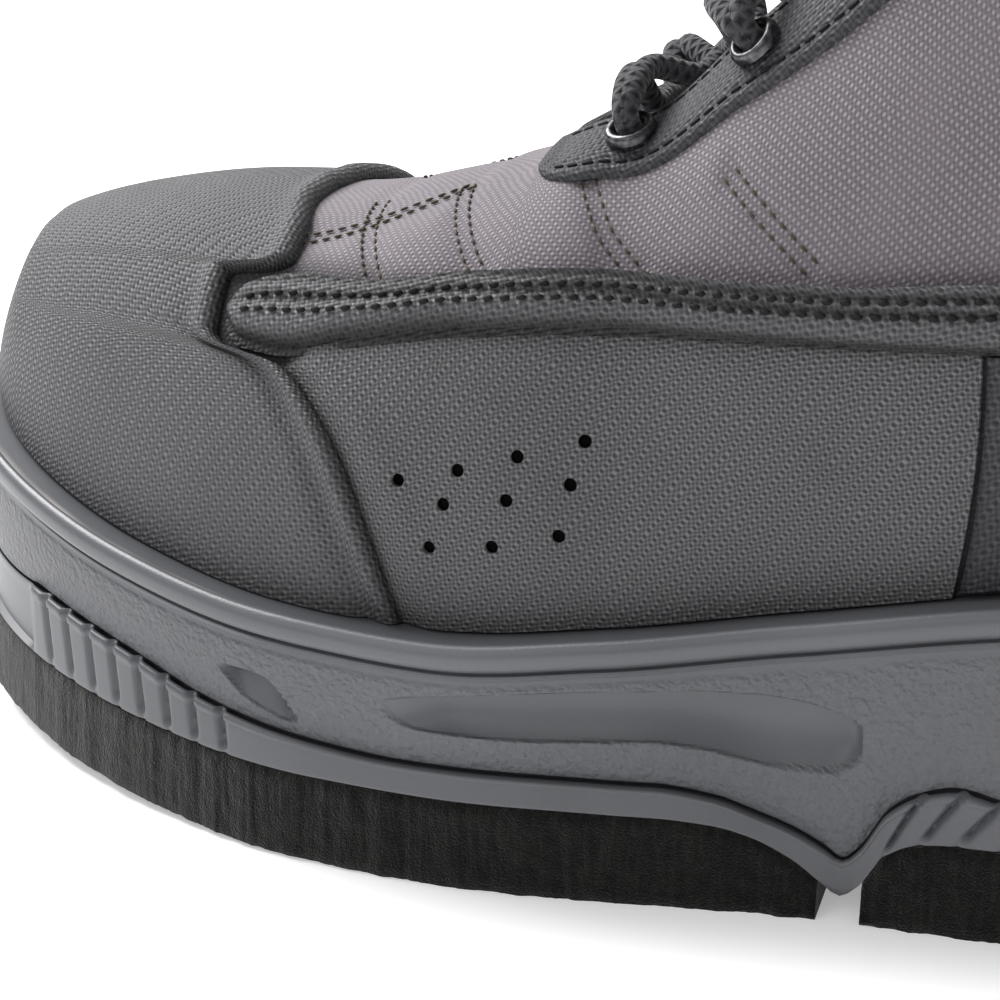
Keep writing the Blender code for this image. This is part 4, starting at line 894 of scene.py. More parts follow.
# The heel counter: darker weave moulded round the heel under the strip, its front edges sewn over
# the ends of the side panels.
COUNTER_FACE = -1.0 * MM
COUNTER_ROUNDING = 1.2 * MM
dark_finish = rubberised_weave("dark_weave", linear(82, 82, 86), linear(44, 44, 47), depth=0.16)
seam_row = COUNTER_SEAM.read("row", 0.0)
counter_places = np.concatenate((np.linspace(seam_row, HEEL_BEND_ROW, 50)[:-1],
                                 crowded_rows(HEEL_BEND_ROW, HEEL_ROW, 26),
                                 crowded_rows(HEEL_ROW, heel_row_at("low", GAP), 30)[1:]))
counter_up = np.linspace(0, 1, 40)
counter_shift = np.clip((HEEL_BEND_ROW - counter_places) / (HEEL_BEND_ROW - seam_row), 0, 1)[:, None]
counter_rows = np.repeat(counter_places[:, None], len(counter_up), axis=1)
for _ in range(4):
    counter_top = arch_at_height(counter_rows, INSTEP_HEIGHT * STRIP.read("low", counter_rows) - GAP)
    counter_foot = 0.01 * np.clip((HEEL_ROW - counter_rows) / 2, 0, 1)
    counter_arches = arches_between(counter_foot, counter_top, counter_up, counter_places[:, None])
    counter_rows = COUNTER_SEAM.read("row", counter_arches) - seam_row
    counter_rows = counter_places[:, None] + counter_shift * counter_rows
front_away = (counter_places - seam_row)[:, None] * ROW_LENGTH
counter_edge = rounded(front_away + 0.1 * MM, COUNTER_ROUNDING, 2)
counter_back = under_overlay(counter_rows)
counter_face = counter_back + (COUNTER_FACE - counter_back) * (0.3 + 0.7 * counter_edge)
# Painted shade along the counter's front edge, where it stands over the side panels.
counter_edge_shade = 0.6 * bell(front_away, 1.0 * MM) * np.ones_like(counter_rows)
counter_sheets = both_sides(counter_rows, counter_arches, counter_face, counter_back)
heel_counter = sewn_shell("heel_counter_moulded", counter_sheets, dark_finish, [counter_edge_shade] * 2)
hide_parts("heel_counter")


# The eyestays: a doubled band of dark weave along each edge of the throat. It is laid on the canvas
# and sewn down near both its edges, and it carries six eyelets.
STAY_FACE = -0.9 * MM
STAY_END = 0.06
STAY_ROUNDING = 1.3 * MM
STAY_THREAD = 2.2 * MM
STAY_ROW_LENGTH = 14 * MM
stay_rows = np.concatenate((THROAT_ROW + THROAT_ROUNDING * np.linspace(0.02, 1, 14) ** 1.6,
                            np.linspace(THROAT_ROW + THROAT_ROUNDING, CUFF_ROW - STAY_END, 130)[1:]))
stay_steps = np.linspace(1, 0, 22)
stay_arches = arches_down(stay_rows, STAY_WIDTH * stay_steps)
stay_ends = np.minimum(stay_rows - THROAT_ROW, CUFF_ROW - STAY_END - stay_rows)[:, None] * STAY_ROW_LENGTH
stay_edge = np.minimum(STAY_WIDTH * np.minimum(stay_steps, 1 - stay_steps), stay_ends)
stay_back = CANVAS_FACE + LAYER_GAP
stay_face = stay_back + (STAY_FACE - stay_back) * (0.35 + 0.65 * rounded(stay_edge, STAY_ROUNDING, 2))
stay_face = stay_face - 0.3 * MM * bell(stay_edge - STAY_THREAD, 0.6 * MM)
# Painted shade in the groove drawn in by the stay's stitching.
stay_seam_shade = 0.5 * bell(stay_edge - STAY_THREAD, 0.5 * MM)
stay_sheets = both_sides(stay_rows[:, None], stay_arches, stay_face, stay_back)
for sheet, side_name in zip(stay_sheets, ("outer", "inner")):
    stay = sewn_shell(f"eyestay_{side_name}_sewn", [sheet], dark_finish, [stay_seam_shade])
    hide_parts(f"eyestay_{side_name}")


# The cuff: a padded band of dark cloth round the collar. It is sewn through once along its middle,
# which draws it into small puckers.
CUFF_FACE = 1.6 * MM
CUFF_EDGE = 0.3 * MM
CUFF_PUCKERS = 60
PUCKER_DEPTH = 0.175 * MM
cuff_finish = canvas_cloth("cuff_cloth", linear(74, 72, 76), linear(36, 35, 37), linear(60, 58, 61))
cuff_rows = np.linspace(CUFF_ROW, COLLAR_ROW, 34)
cuff_share = np.linspace(0, 1, len(cuff_rows))
cuff_arches = upper_arches(cuff_rows, 40, 10)
cuff_swell = np.sin(cuff_share * math.pi) ** 0.6 - 0.3 * bell(cuff_share - 0.5, 0.06)
cuff_back = CANVAS_FACE + LAYER_GAP
cuff_puckers = np.clip(np.sin(np.linspace(0, 1, cuff_arches.shape[1]) * CUFF_PUCKERS), 0, 1)
cuff_puckers = cuff_puckers * np.sin(cuff_share * math.pi)[:, None] ** 2
cuff_face = (cuff_back + CUFF_EDGE + (CUFF_FACE - cuff_back) * cuff_swell)[:, None]
cuff_sheets = both_sides(cuff_rows[:, None], cuff_arches, cuff_face - PUCKER_DEPTH * cuff_puckers, cuff_back)
cuff = sewn_shell("cuff_padded", cuff_sheets, cuff_finish)
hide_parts("cuff")


# The tongue: padded canvas under the throat and its stays, fixed at the foot of the throat and
# standing a little over the collar.
TONGUE_ROW = 3.7
TONGUE_WALL = 4.5 * MM
tongue_finish = canvas_cloth("tongue_canvas", linear(112, 108, 112), linear(56, 54, 57), linear(92, 88, 92))
above_collar = (TONGUE_TOP_ROW - COLLAR_ROW) * np.linspace(1, 0, 14)[1:] ** 1.6
tongue_rows = np.concatenate((np.linspace(TONGUE_ROW, COLLAR_ROW, 130), TONGUE_TOP_ROW - above_collar))
tongue_face = CANVAS_FACE - CANVAS_WALL - 2 * GAP
narrow = rounded(TONGUE_TOP_ROW + 0.1 - tongue_rows, TONGUE_TOP_ROW + 0.1 - COLLAR_ROW, 2.0)[:, None]
under_stay = arches_down(tongue_rows, STAY_WIDTH * np.linspace(2 / 3, 0, 9))
in_throat = throat_half(tongue_rows)[:, None] * np.linspace(1, 0, 12)[1:-1]
free = arch_beside_ridge(tongue_rows[:, None], in_throat, CANVAS_FACE)
tongue_arches = 1 - narrow * (1 - np.concatenate((under_stay, free, np.ones((len(tongue_rows), 1))), axis=1))
tongue_sheets = both_sides(tongue_rows[:, None], tongue_arches, tongue_face, tongue_face - TONGUE_WALL)
tongue = sewn_shell("tongue_padded", tongue_sheets, tongue_finish)
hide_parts("tongue")


# The midsole: grey rubber foam moulded in one piece. A beaded lip runs round the upper, over a
# groove, a leather-grained wall with two smooth recesses on each side, and a foot in the outsole.
SPRING_LIFT = 5.3 * MM
SPRING_RUN = 100 * MM
FELT_THICKNESS = 13 * MM
TREAD_OUTSET = 5.6 * MM
FELT_FLARE = 1.2 * MM
RIM_WIDTH = 1.7 * MM
OUTSOLE_FLOOR = 1.8 * MM
FLOOR_SHARE = 0.6
LIP_OUTSET = 6.2 * MM
LIP_DEPTH = 2.6 * MM
BEAD_RISE = 1.0 * MM
BEAD_WIDTH = 2.4 * MM
BEAD_SEAT = 1.2 * MM
LIP_TAPER = 0.3 * MM
GROOVE_DEPTH = 1.5 * MM
GROOVE_DROP = 0.5 * MM
FINE_RIDGE = 0.5 * MM
WALL_DROP = 2.4 * MM
WALL_TOP_OUTSET = 4.4 * MM
WALL_FOOT_OUTSET = 3.5 * MM
FOOT_INSET = 1.9 * MM
RECESS_SUNK = 3.0 * MM
WALL_STEPS = 60
SOFT_EDGE = 0.25 * MM
SOLE_STATIONS = 440
GRAIN_PITCH = 0.95
GLUE_COLOUR = linear(176, 172, 166)

# Underside of the outsole and top of its rim over the floor or the toe's spring, shares of
# FELT_THICKNESS. step: how far the rim stands out, a share of RIM_WIDTH
TREAD = Table(
    "along  under  rim  step",
    (0.000, 1.00, 1.72, 0.25),
    (0.060, 1.00, 1.80, 0.25),
    (0.085, 1.00, 1.86, 0.30),
    (0.093, 1.00, 1.90, 1.00),
    (0.138, 1.00, 1.84, 1.00),
    (0.170, 1.00, 1.76, 1.00),
    (0.217, 1.00, 1.56, 1.00),
    (0.268, 1.00, 1.42, 1.00),
    (0.330, 1.00, 1.34, 1.00),
    (0.455, 1.00, 1.34, 1.00),
    (0.484, 0.95, 1.25, 1.00),
    (0.502, 0.85, 1.11, 1.00),
    (0.523, 0.62, 0.93, 1.00),
    (0.537, 0.38, 0.76, 0.90),
    (0.545, 0.26, 0.64, 0.60),
    (0.553, 0.38, 0.80, 0.90),
    (0.566, 0.80, 1.28, 1.00),
    (0.580, 0.96, 1.50, 1.00),
    (0.597, 1.00, 1.60, 1.00),
    (0.618, 1.00, 1.50, 1.00),
    (0.645, 1.00, 1.38, 1.00),
    (0.700, 1.00, 1.34, 1.00),
    (1.000, 1.00, 1.34, 1.00))

# Edges of the two recesses over the floor, shares of FELT_THICKNESS
LEAF = Table(
    "along  top  foot",
    (0.2300, 2.11, 2.08),
    (0.2380, 2.15, 1.92),
    (0.2460, 2.15, 1.76),
    (0.2570, 2.12, 1.66),
    (0.2655, 1.94, 1.60),
    (0.2700, 1.78, 1.59),
    (0.2740, 1.66, 1.64))
TEARDROP = Table(
    "along  top  foot",
    (0.3170, 2.06, 2.05),
    (0.3250, 2.11, 1.86),
    (0.3417, 2.18, 1.76),
    (0.3816, 2.30, 1.75),
    (0.4306, 2.42, 1.81),
    (0.4549, 2.46, 1.85),
    (0.4767, 2.50, 1.81),
    (0.5052, 2.50, 1.68),
    (0.5180, 2.48, 1.65),
    (0.5390, 2.38, 1.66),
    (0.5490, 2.26, 1.78),
    (0.5525, 2.10, 1.98))


def outline(x, side, outset):
    """Points of the feather line's plan, grown by the outset."""
    place = stretched(x, outset)
    line = plan_line(place, x, side, outset)
    heel = rounded(LAST_LENGTH + outset - place, HEEL_RUN + outset, HEEL_POWER)
    middle = np.where(place < LAST_LENGTH / 2, line, HEEL_SWING)
    return place, middle + (line - middle) * heel


def spring_height(x):
    return SPRING_LIFT * np.clip(1 - x / SPRING_RUN, 0, 1.2) ** 2


def tread_height(x, column):
    return spring_height(x) + FELT_THICKNESS * TREAD.read(column, x / LAST_LENGTH)


def floor_height(rim, under):
    """Top of the outsole's floor, inside its rim."""
    return under + np.minimum(OUTSOLE_FLOOR, (rim - under) * FLOOR_SHARE)


def run_lengths(points):
    """Length from the first point of a line to each of its points."""
    return np.concatenate(([0], np.cumsum(np.linalg.norm(np.diff(points, axis=0), axis=1))))


def even_stations(start, end, count):
    """Places along the last, at even lengths round the outline of the sole."""
    share = np.linspace(0, 1, 4000)
    x = start + (end - start) * (1 - np.cos(share * math.pi)) / 2
    x = x if start > 0 or end < LAST_LENGTH else LAST_LENGTH * share ** 2 * (3 - 2 * share)
    run = run_lengths(np.stack(outline(x, OUTER, TREAD_OUTSET), axis=-1))
    return np.interp(np.linspace(0, run[-1], count), run, x)


def sole_body(name, stations, ring_list, finish):
    """A piece of the sole: rings round the outline, each an outset, a height and a share of grain, as
    one value or one for each station. Flat spans close it at its first and last ring."""
    outset, height, grain = (np.array([ring[part] * np.ones_like(stations) for ring in ring_list])
                             for part in range(3))
    rings, count = height.shape
    points, cloth = [], []
    for side in (OUTER, INNER):
        x, y = outline(np.broadcast_to(stations, height.shape), side, outset)
        grid = np.stack((x - MIDDLE_X, y - MIDDLE_Y, height), axis=-1)
        points.append(grid.reshape(-1, 3))
        along = run_lengths(grid[rings // 2])
        up = np.linalg.norm(np.diff(grid, axis=0), axis=2).cumsum(axis=0)
        up = np.concatenate((np.zeros((1, count)), up))
        cloth.append(np.stack((np.broadcast_to(along, up.shape) * side, -up), axis=-1).reshape(-1, 2) / MM)
    index = np.arange(2 * rings * count).reshape(2, rings, count)
    near, far = index
    walls = np.stack((index[:, :-1, :-1], index[:, :-1, 1:], index[:, 1:, 1:], index[:, 1:, :-1]), axis=-1)
    spans = [np.stack((near[k, :-1], far[k, :-1], far[k, 1:], near[k, 1:]), axis=-1)[:, ::turn]
             for k, turn in ((0, 1), (rings - 1, -1))]
    ends = [np.stack((near[:-1, i], near[1:, i], far[1:, i], far[:-1, i]), axis=-1)[:, ::turn]
            for i, turn in ((0, 1), (count - 1, -1))]
    faces = np.concatenate((walls[0].reshape(-1, 4), walls[1].reshape(-1, 4)[:, ::-1], *spans, *ends))
    points, cloth = np.concatenate(points), np.concatenate(cloth)
    mesh = bpy.data.meshes.new(name)
    mesh.from_pydata(points.tolist(), [], faces.tolist())
    mesh.uv_layers.new(name="cloth").data.foreach_set("uv", cloth[faces.reshape(-1)].reshape(-1))
    mesh.attributes.new("grain", "FLOAT", "POINT").data.foreach_set("value", np.tile(grain.reshape(-1), 2))
    work = bmesh.new()
    work.from_mesh(mesh)
    bmesh.ops.remove_doubles(work, verts=work.verts, dist=0.005 * MM)
    bmesh.ops.recalc_face_normals(work, faces=work.faces)
    work.to_mesh(mesh)
    work.free()
    return finished(name, mesh, finish)


def moulded_rubber(name, colour):
    """Moulded rubber foam: satin, with a leather-like grain where the attribute grain is over 0, and
    a smear of glue where it is under."""
    made, wire, shader = new_finish(name, 0.5, specular=0.5)
    place = wire.node("ShaderNodeTexCoord", output=3)
    grain = wire.node("ShaderNodeAttribute", output=2, attribute_name="grain")
    pebbles = wire.node("ShaderNodeTexVoronoi",
                        {"Vector": place, "Scale": 1 / (GRAIN_PITCH * MM), "Detail": 1.0},
                        feature="SMOOTH_F1")
    creases = wire.noise(place, 0.8 / MM, 4.0)
    fine = wire.noise(place, 3 / MM, 2.0)
    broad = wire.noise(place, 0.03 / MM, 3.0)
    glue = (0 - grain).clamp()
    grain = grain.clamp()
    height = (1 - pebbles) * 0.8 * grain + creases * grain * 0.9 + fine * 0.1
    tone = ((broad - 0.5) * 0.8 + (creases - 0.5) * grain * 0.5 + 0.5).clamp()
    colour = glue.mixed(tone.mixed(toned(colour, 0.72), toned(colour, 1.22)), GLUE_COLOUR)
    colour.feed(shader, "Base Color")
    rough = 0.36 + broad * 0.1 + grain * 0.12
    rough.feed(shader, "Roughness")
    height.bump(shader, 0.9, 0.42 * MM)
    return made


def recess_depth(table, x, z, steep, lead, power):
    """Share of its depth that a recess is sunk at x and z: steep under its top edge, then rising to its
    foot, the later the higher the power. lead is how gently it starts at its toe end."""
    along = x / LAST_LENGTH
    top, foot = FELT_THICKNESS * table.read("top", along), FELT_THICKNESS * table.read("foot", along)
    within = (along > table.places[0]) & (along < table.places[-1])
    down = np.clip((top - z) / np.maximum(top - foot, 0.05 * MM), 0, 1)
    ends = eased((along - table.places[0]) / lead) * eased((table.places[-1] - along) / 0.004)
    rise = np.clip((down - steep) / (1 - steep), 0, 1) ** power
    return within * ends * eased(down / steep) * (1 - rise)


rubber_finish = moulded_rubber("midsole_rubber", linear(92, 93, 97))
stations = even_stations(0, LAST_LENGTH, SOLE_STATIONS)
lip = feather_height(stations)
wall_foot = tread_height(stations, "rim")
under = tread_height(stations, "under") + GAP
sole_floor = floor_height(wall_foot, under)
wall_top = lip - LIP_DEPTH - WALL_DROP
lip_rings = (
    (LIP_OUTSET - BEAD_WIDTH - BEAD_SEAT, lip),
    (LIP_OUTSET - 0.95 * BEAD_WIDTH, lip + 0.15 * MM),
    (LIP_OUTSET - 0.85 * BEAD_WIDTH, lip + 0.65 * BEAD_RISE),
    (LIP_OUTSET - 0.70 * BEAD_WIDTH, lip + 0.95 * BEAD_RISE),
    (LIP_OUTSET - 0.52 * BEAD_WIDTH, lip + BEAD_RISE),
    (LIP_OUTSET - 0.34 * BEAD_WIDTH, lip + 0.86 * BEAD_RISE),
    (LIP_OUTSET - 0.16 * BEAD_WIDTH, lip + 0.48 * BEAD_RISE),
    (LIP_OUTSET - 0.04 * BEAD_WIDTH, lip - 0.05 * LIP_DEPTH),
    (LIP_OUTSET, lip - 0.25 * LIP_DEPTH),
    (LIP_OUTSET - 0.15 * LIP_TAPER, lip - 0.55 * LIP_DEPTH),
    (LIP_OUTSET - 0.7 * LIP_TAPER, lip - 0.85 * LIP_DEPTH),
    (LIP_OUTSET - LIP_TAPER - 0.4 * MM, lip - LIP_DEPTH - 0.1 * MM),
    (LIP_OUTSET - LIP_TAPER - 0.8 * GROOVE_DEPTH, lip - LIP_DEPTH - 0.1 * MM),
    (LIP_OUTSET - LIP_TAPER - GROOVE_DEPTH, lip - LIP_DEPTH - GROOVE_DROP),
    (WALL_TOP_OUTSET - 0.2 * MM, lip - LIP_DEPTH - 0.9 * MM),
    (WALL_TOP_OUTSET + FINE_RIDGE * 0.8, lip - LIP_DEPTH - 1.1 * MM),
    (WALL_TOP_OUTSET + FINE_RIDGE, lip - LIP_DEPTH - 1.4 * MM),
    (WALL_TOP_OUTSET + FINE_RIDGE * 0.5, lip - LIP_DEPTH - 1.8 * MM),
    (WALL_TOP_OUTSET - 0.05 * MM, lip - LIP_DEPTH - 2.05 * MM))
glue_smear = -0.9 * (0.55 + 0.45 * np.sin(stations / (3.1 * MM)) * np.sin(stations / (7.7 * MM)))
rings = [(outset, height, glue_smear if number == 1 else 0)
         for number, (outset, height) in enumerate(lip_rings)]
for share in np.linspace(0, 1, WALL_STEPS):
    z = wall_top * (1 - share) + (wall_foot + GAP) * share
    line = WALL_TOP_OUTSET * (1 - share) + WALL_FOOT_OUTSET * share + SOFT_EDGE * math.sin(share * math.pi)
    sunk = recess_depth(TEARDROP, stations, z, 0.14, 0.04, 2.6)
    sunk = sunk + 0.8 * recess_depth(LEAF, stations, z, 0.2, 0.01, 1.2)
    rings.append((line - RECESS_SUNK * sunk, z, np.clip(1 - 9 * sunk, 0, 1) * eased(share / 0.1)))
rings += [(WALL_FOOT_OUTSET - 0.4 * MM, wall_foot + 0.1 * MM, 0),
          (WALL_FOOT_OUTSET - FOOT_INSET, wall_foot - GAP, 0),
          (WALL_FOOT_OUTSET - FOOT_INSET, sole_floor + GAP, 0)]
midsole = sole_body("midsole_moulded", stations, rings, rubber_finish)
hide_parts("midsole")


# The outsole: a shallow rubber cup under the midsole. Its rim is a bright band, ribbed round the toe
# and on the bump where the heel unit starts.
RIM_DEPTH = 1.5 * MM
RIM_INSIDE = 1.3 * MM
RIM_LEAN = 0.4 * MM
NOTCH_ALONG = 157 * MM
NOTCH_HALF = 3 * MM
RIB_DEPTH = 1.15 * MM
RIB_PITCH = 5.17 * MM
RIB_HALF_WIDTH = 0.55 * MM
RIM_OVERHANG = 0.4 * MM

# Ribs of the rim: place of the first groove, how many there are and how much they lean
TOE_RIBS = (30.6 * MM, 8, 0.14)
HEEL_RIBS = (164.8 * MM, 4, -0.75)


def rib_grooves(x, rim, low, z):
    """Share of RIB_DEPTH that the grooves between ribs are cut in at x and z."""
    cut = np.zeros(np.broadcast(x, z).shape)
    for start, count, slant in (TOE_RIBS, HEEL_RIBS):
        lean = slant * (rim - low) / 2
        down = (rim - z) / (rim - low)
        for k in range(count):
            away = x - (start + k * RIB_PITCH + lean * (2 * down - 1))
            cut = np.maximum(cut, bell(away, RIB_HALF_WIDTH) * (1 - 0.75 * eased((down - 0.75) / 0.2)))
    return cut


outsole_finish = moulded_rubber("outsole_rubber", linear(90, 91, 95))
rib_stations = np.concatenate((np.linspace(28 * MM, 70 * MM, 130), np.linspace(158 * MM, 185 * MM, 90)))
stations = np.union1d(even_stations(0, LAST_LENGTH, 300), rib_stations)
rim = tread_height(stations, "rim")
under = tread_height(stations, "under") + GAP
step = RIM_WIDTH * TREAD.read("step", stations / LAST_LENGTH)
sole_floor = floor_height(rim, under)
tall = np.clip((rim - under) / (8 * MM), 0.3, 1)
foot = WALL_FOOT_OUTSET
face_top, face_foot = rim - 1.6 * MM * tall, under + 0.5 * MM * tall
rim_rings = [(foot - RIM_INSIDE - GAP, sole_floor), (foot - RIM_INSIDE, rim - RIM_DEPTH * tall),
             (foot + 0.05 * step, rim - 0.8 * MM * tall), (foot + 0.3 * step, rim - 0.2 * MM),
             (foot + 0.5 * step, rim), (foot + 0.72 * step, rim - 0.08 * MM),
             (foot + 0.92 * step, rim - 0.35 * MM * tall), (foot + step, rim - 0.8 * MM * tall),
             (foot + step, rim - 1.3 * MM * tall), (foot + 0.86 * step, face_top)]
rim_rings += [(foot + 0.86 * step + (RIM_LEAN + 0.14 * step) * share,
               face_top * (1 - share) + face_foot * share) for share in np.linspace(0, 1, 16)[1:]]
rim_rings.append((TREAD_OUTSET - 0.1 * MM, under))
rings = []
for number, (outset, height) in enumerate(rim_rings):
    grooves = rib_grooves(stations, rim, under, height) if number > 2 else 0
    rings.append((np.minimum(outset, TREAD_OUTSET + RIM_OVERHANG) - RIB_DEPTH * grooves, height, 0))
outsole = sole_body("outsole_moulded", stations, rings, outsole_finish)
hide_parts("outsole")


# The felt treads: thick dark needled felt glued under the outsole, in two pieces with a gap at the
# shank. The cut sides are streaked up and down and their edges are ragged.
felt_finish, felt_wire, felt_shader = new_finish("needled_felt", 0.97, specular=0.1, sheen=0.25)
felt_place = felt_wire.node("ShaderNodeTexCoord", output=3)
drawn_out = (1 / MM, 1 / MM, 0.14 / MM)
felt_streak = felt_wire.node("ShaderNodeMapping", {"Vector": felt_place, "Scale": drawn_out})
streaks = felt_wire.noise(felt_streak, 1.1, 5.0)
fibres = felt_wire.noise(felt_place, 3.2 / MM, 5.0)
felt_tone = ((streaks - 0.42) * 1.6 + (fibres - 0.5) * 1.3).clamp()
felt_tone.mixed(linear(11, 11, 10), linear(44, 42, 39)).feed(felt_shader, "Base Color")
felt_relief = streaks * 0.6 + fibres * 0.8
felt_relief.bump(felt_shader, 0.9, 0.5 * MM)

FELT_STATIONS = 330
FELT_RINGS = 14
FELT_ROUNDING = 0.9 * MM
STREAK_DEPTH = 0.22 * MM
FIBRE_DEPTH = 0.1 * MM
EDGE_DRAWN_IN = 0.35 * MM
rough_edge = np.random.default_rng(5)


def wavering(count, width, depth):
    """Random steps along a cut edge, evened out over a few stations."""
    steps = rough_edge.normal(size=count + width - 1)
    return np.convolve(steps, np.ones(width) / width, mode="valid") * depth


for name, start, end in (("felt_front", 0.0, NOTCH_ALONG - NOTCH_HALF),
                         ("felt_heel", NOTCH_ALONG + NOTCH_HALF, LAST_LENGTH)):
    stations = even_stations(start, end, FELT_STATIONS)
    top, low = tread_height(stations, "under"), spring_height(stations)
    rings = []
    streak = wavering(FELT_STATIONS, 5, STREAK_DEPTH)
    for share in np.linspace(0, 1, FELT_RINGS):
        ragged = wavering(FELT_STATIONS, 3, FIBRE_DEPTH)
        edge = EDGE_DRAWN_IN * (1 - rounded(min(share, 1 - share) * FELT_THICKNESS, FELT_ROUNDING, 2))
        rings.append((TREAD_OUTSET + FELT_FLARE * share + streak + ragged - edge,
                      top * (1 - share) + low * share, 0))
    felt = sole_body(f"{name}_needled", stations, rings, felt_finish)
    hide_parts(name)


# The insole: a thin board of foam faced with cloth. It lies on the midsole, inside the foot of the
# upper.
INSOLE_INSET = 7.0 * MM
INSOLE_THICKNESS = 3 * MM
insole_finish = canvas_cloth("insole_cloth", linear(66, 66, 70), linear(34, 34, 37), linear(54, 54, 58))
stations = even_stations(0, LAST_LENGTH, 160)
board = feather_height(stations) + GAP
board_rings = [(-INSOLE_INSET - 0.5 * MM, board + INSOLE_THICKNESS, 0),
               (-INSOLE_INSET, board + 0.8 * INSOLE_THICKNESS, 0), (-INSOLE_INSET, board, 0)]
insole = sole_body("insole_board", stations, board_rings, insole_finish)
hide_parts("insole")


# The eyelets: rolled rings of dark metal, six in each stay, pressed through both of its layers of
# weave.
EYELET_INSET = 7 * MM
EYELET_RADIUS = 3.8 * MM
EYELET_HOLE = 2.1 * MM
EYELET_HEIGHT = 1.4 * MM
EYELET_LIFT = 0.8 * MM
EYELET_ROWS = (5.1, 6.15, 7.4, 9.1, 11.3, 14.0)
EYELET_SIDES = 40


def eyelet_place(row, side):
    """Centre of an eyelet on the face of its stay, and the direction that it faces."""
    centre, normal = facing(row, arches_down(row, EYELET_INSET)[0], side, STAY_FACE)
    return centre, -normal if normal[0] > 0 else normal


metal_finish, metal_wire, metal_shader = new_finish("eyelet_metal", 0.34, specular=0.5)
metal_shader.inputs["Metallic"].default_value = 1.0
metal_place = metal_wire.node("ShaderNodeTexCoord", output=3)
scuffs = metal_wire.noise(metal_place, 1.2 / MM, 4.0)
(scuffs * 0.3 + 0.2).feed(metal_shader, "Roughness")
metal_colour = ((scuffs - 0.4) * 2).clamp().mixed(linear(70, 70, 72), linear(128, 128, 130))
metal_colour.feed(metal_shader, "Base Color")
roll = np.linspace(0, math.pi, 9)
middle_radius, roll_half = (EYELET_RADIUS + EYELET_HOLE) / 2, (EYELET_RADIUS - EYELET_HOLE) / 2
ring_profile = [(middle_radius + roll_half * math.cos(turn), EYELET_HEIGHT * math.sin(turn) ** 0.8)
                for turn in roll]
work = bmesh.new()
for side in (OUTER, INNER):
    for row in EYELET_ROWS:
        centre, normal = eyelet_place(row, side)
        seat = seated(centre + normal * EYELET_LIFT, normal)
        rings = []
        for k in range(EYELET_SIDES):
            turn = 2 * math.pi * k / EYELET_SIDES
            ring = [(radius * math.cos(turn), radius * math.sin(turn), up) for radius, up in ring_profile]
            rings.append([work.verts.new(seat @ Vector(place)) for place in ring])
        for k in range(EYELET_SIDES):
            ring, following = rings[k], rings[(k + 1) % EYELET_SIDES]
            for j in range(len(ring_profile)):
                after = (j + 1) % len(ring_profile)
                work.faces.new((ring[j], following[j], following[after], ring[after]))
bmesh.ops.recalc_face_normals(work, faces=work.faces)
eyelet_mesh = bpy.data.meshes.new("eyelets_rolled")
work.to_mesh(eyelet_mesh)
work.free()
eyelets = finished("eyelets_rolled", eyelet_mesh, metal_finish)
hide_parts(*(f"eyelet_{side_name}_{number}" for side_name in ("outer", "inner")
                       for number in range(1, len(EYELET_ROWS) + 1)))


# The lace: a round braided cord, crossed over the tongue and taken through every eyelet. Its ends
# stop in the top eyelets.
LACE_RADIUS = 1.8 * MM
LACE_GAP = 1.1 * MM
LACE_BEND = 1.7
LACE_SIDES = 14
LACE_STEP = 0.8 * MM


def lace_points(start_row, end_row, first_side):
    """One crossing, out of an eyelet, over the stay, down to the tongue and up to the next eyelet."""
    on_eyelet = STAY_FACE + EYELET_LIFT + EYELET_HEIGHT + LACE_GAP + LACE_RADIUS
    on_tongue = CANVAS_FACE - CANVAS_WALL + LACE_GAP + LACE_RADIUS
    in_hole = STAY_FACE + 0.6 * MM
    crossing = []
    for across, outset in ((1, in_hole), (0.97, on_eyelet - 1.6 * MM), (0.8, on_eyelet), (0.6, on_eyelet),
                           (0.3, on_tongue), (0, on_tongue), (-0.3, on_tongue), (-0.6, on_eyelet),
                           (-0.8, on_eyelet), (-0.97, on_eyelet - 1.6 * MM), (-1, in_hole)):
        row = start_row + (end_row - start_row) * (1 - across) / 2
        lace_side = first_side if across > 0 else -first_side
        eyelet_arch = arches_down(row, EYELET_INSET)[0]
        inner_arch = arch_beside_ridge(row, min(abs(across), 0.6) * LACE_BEND * throat_half(row), outset)
        beyond = np.clip((abs(across) - 0.6) / 0.4, 0, 1)
        crossing.append(form_point(row, inner_arch * (1 - beyond) + eyelet_arch * beyond, lace_side, outset))
    return crossing


def smooth_path(points, spacing):
    """A smooth line through the points, read at even lengths."""
    points = np.array(points)
    run = run_lengths(points)
    keep = np.concatenate(([True], np.diff(run) > 0.05 * MM))
    points, run = points[keep], run[keep]
    slope = np.gradient(points, run, axis=0)
    at = np.linspace(0, run[-1], int(run[-1] / spacing))
    row = np.clip(np.searchsorted(run, at, side="right") - 1, 0, len(run) - 2)
    span = (run[row + 1] - run[row])[:, None]
    t = ((at - run[row])[:, None]) / span
    return ((1 + 2 * t) * (1 - t) ** 2 * points[row] + t * (1 - t) ** 2 * span * slope[row]
            + t * t * (3 - 2 * t) * points[row + 1] - t * t * (1 - t) * span * slope[row + 1])


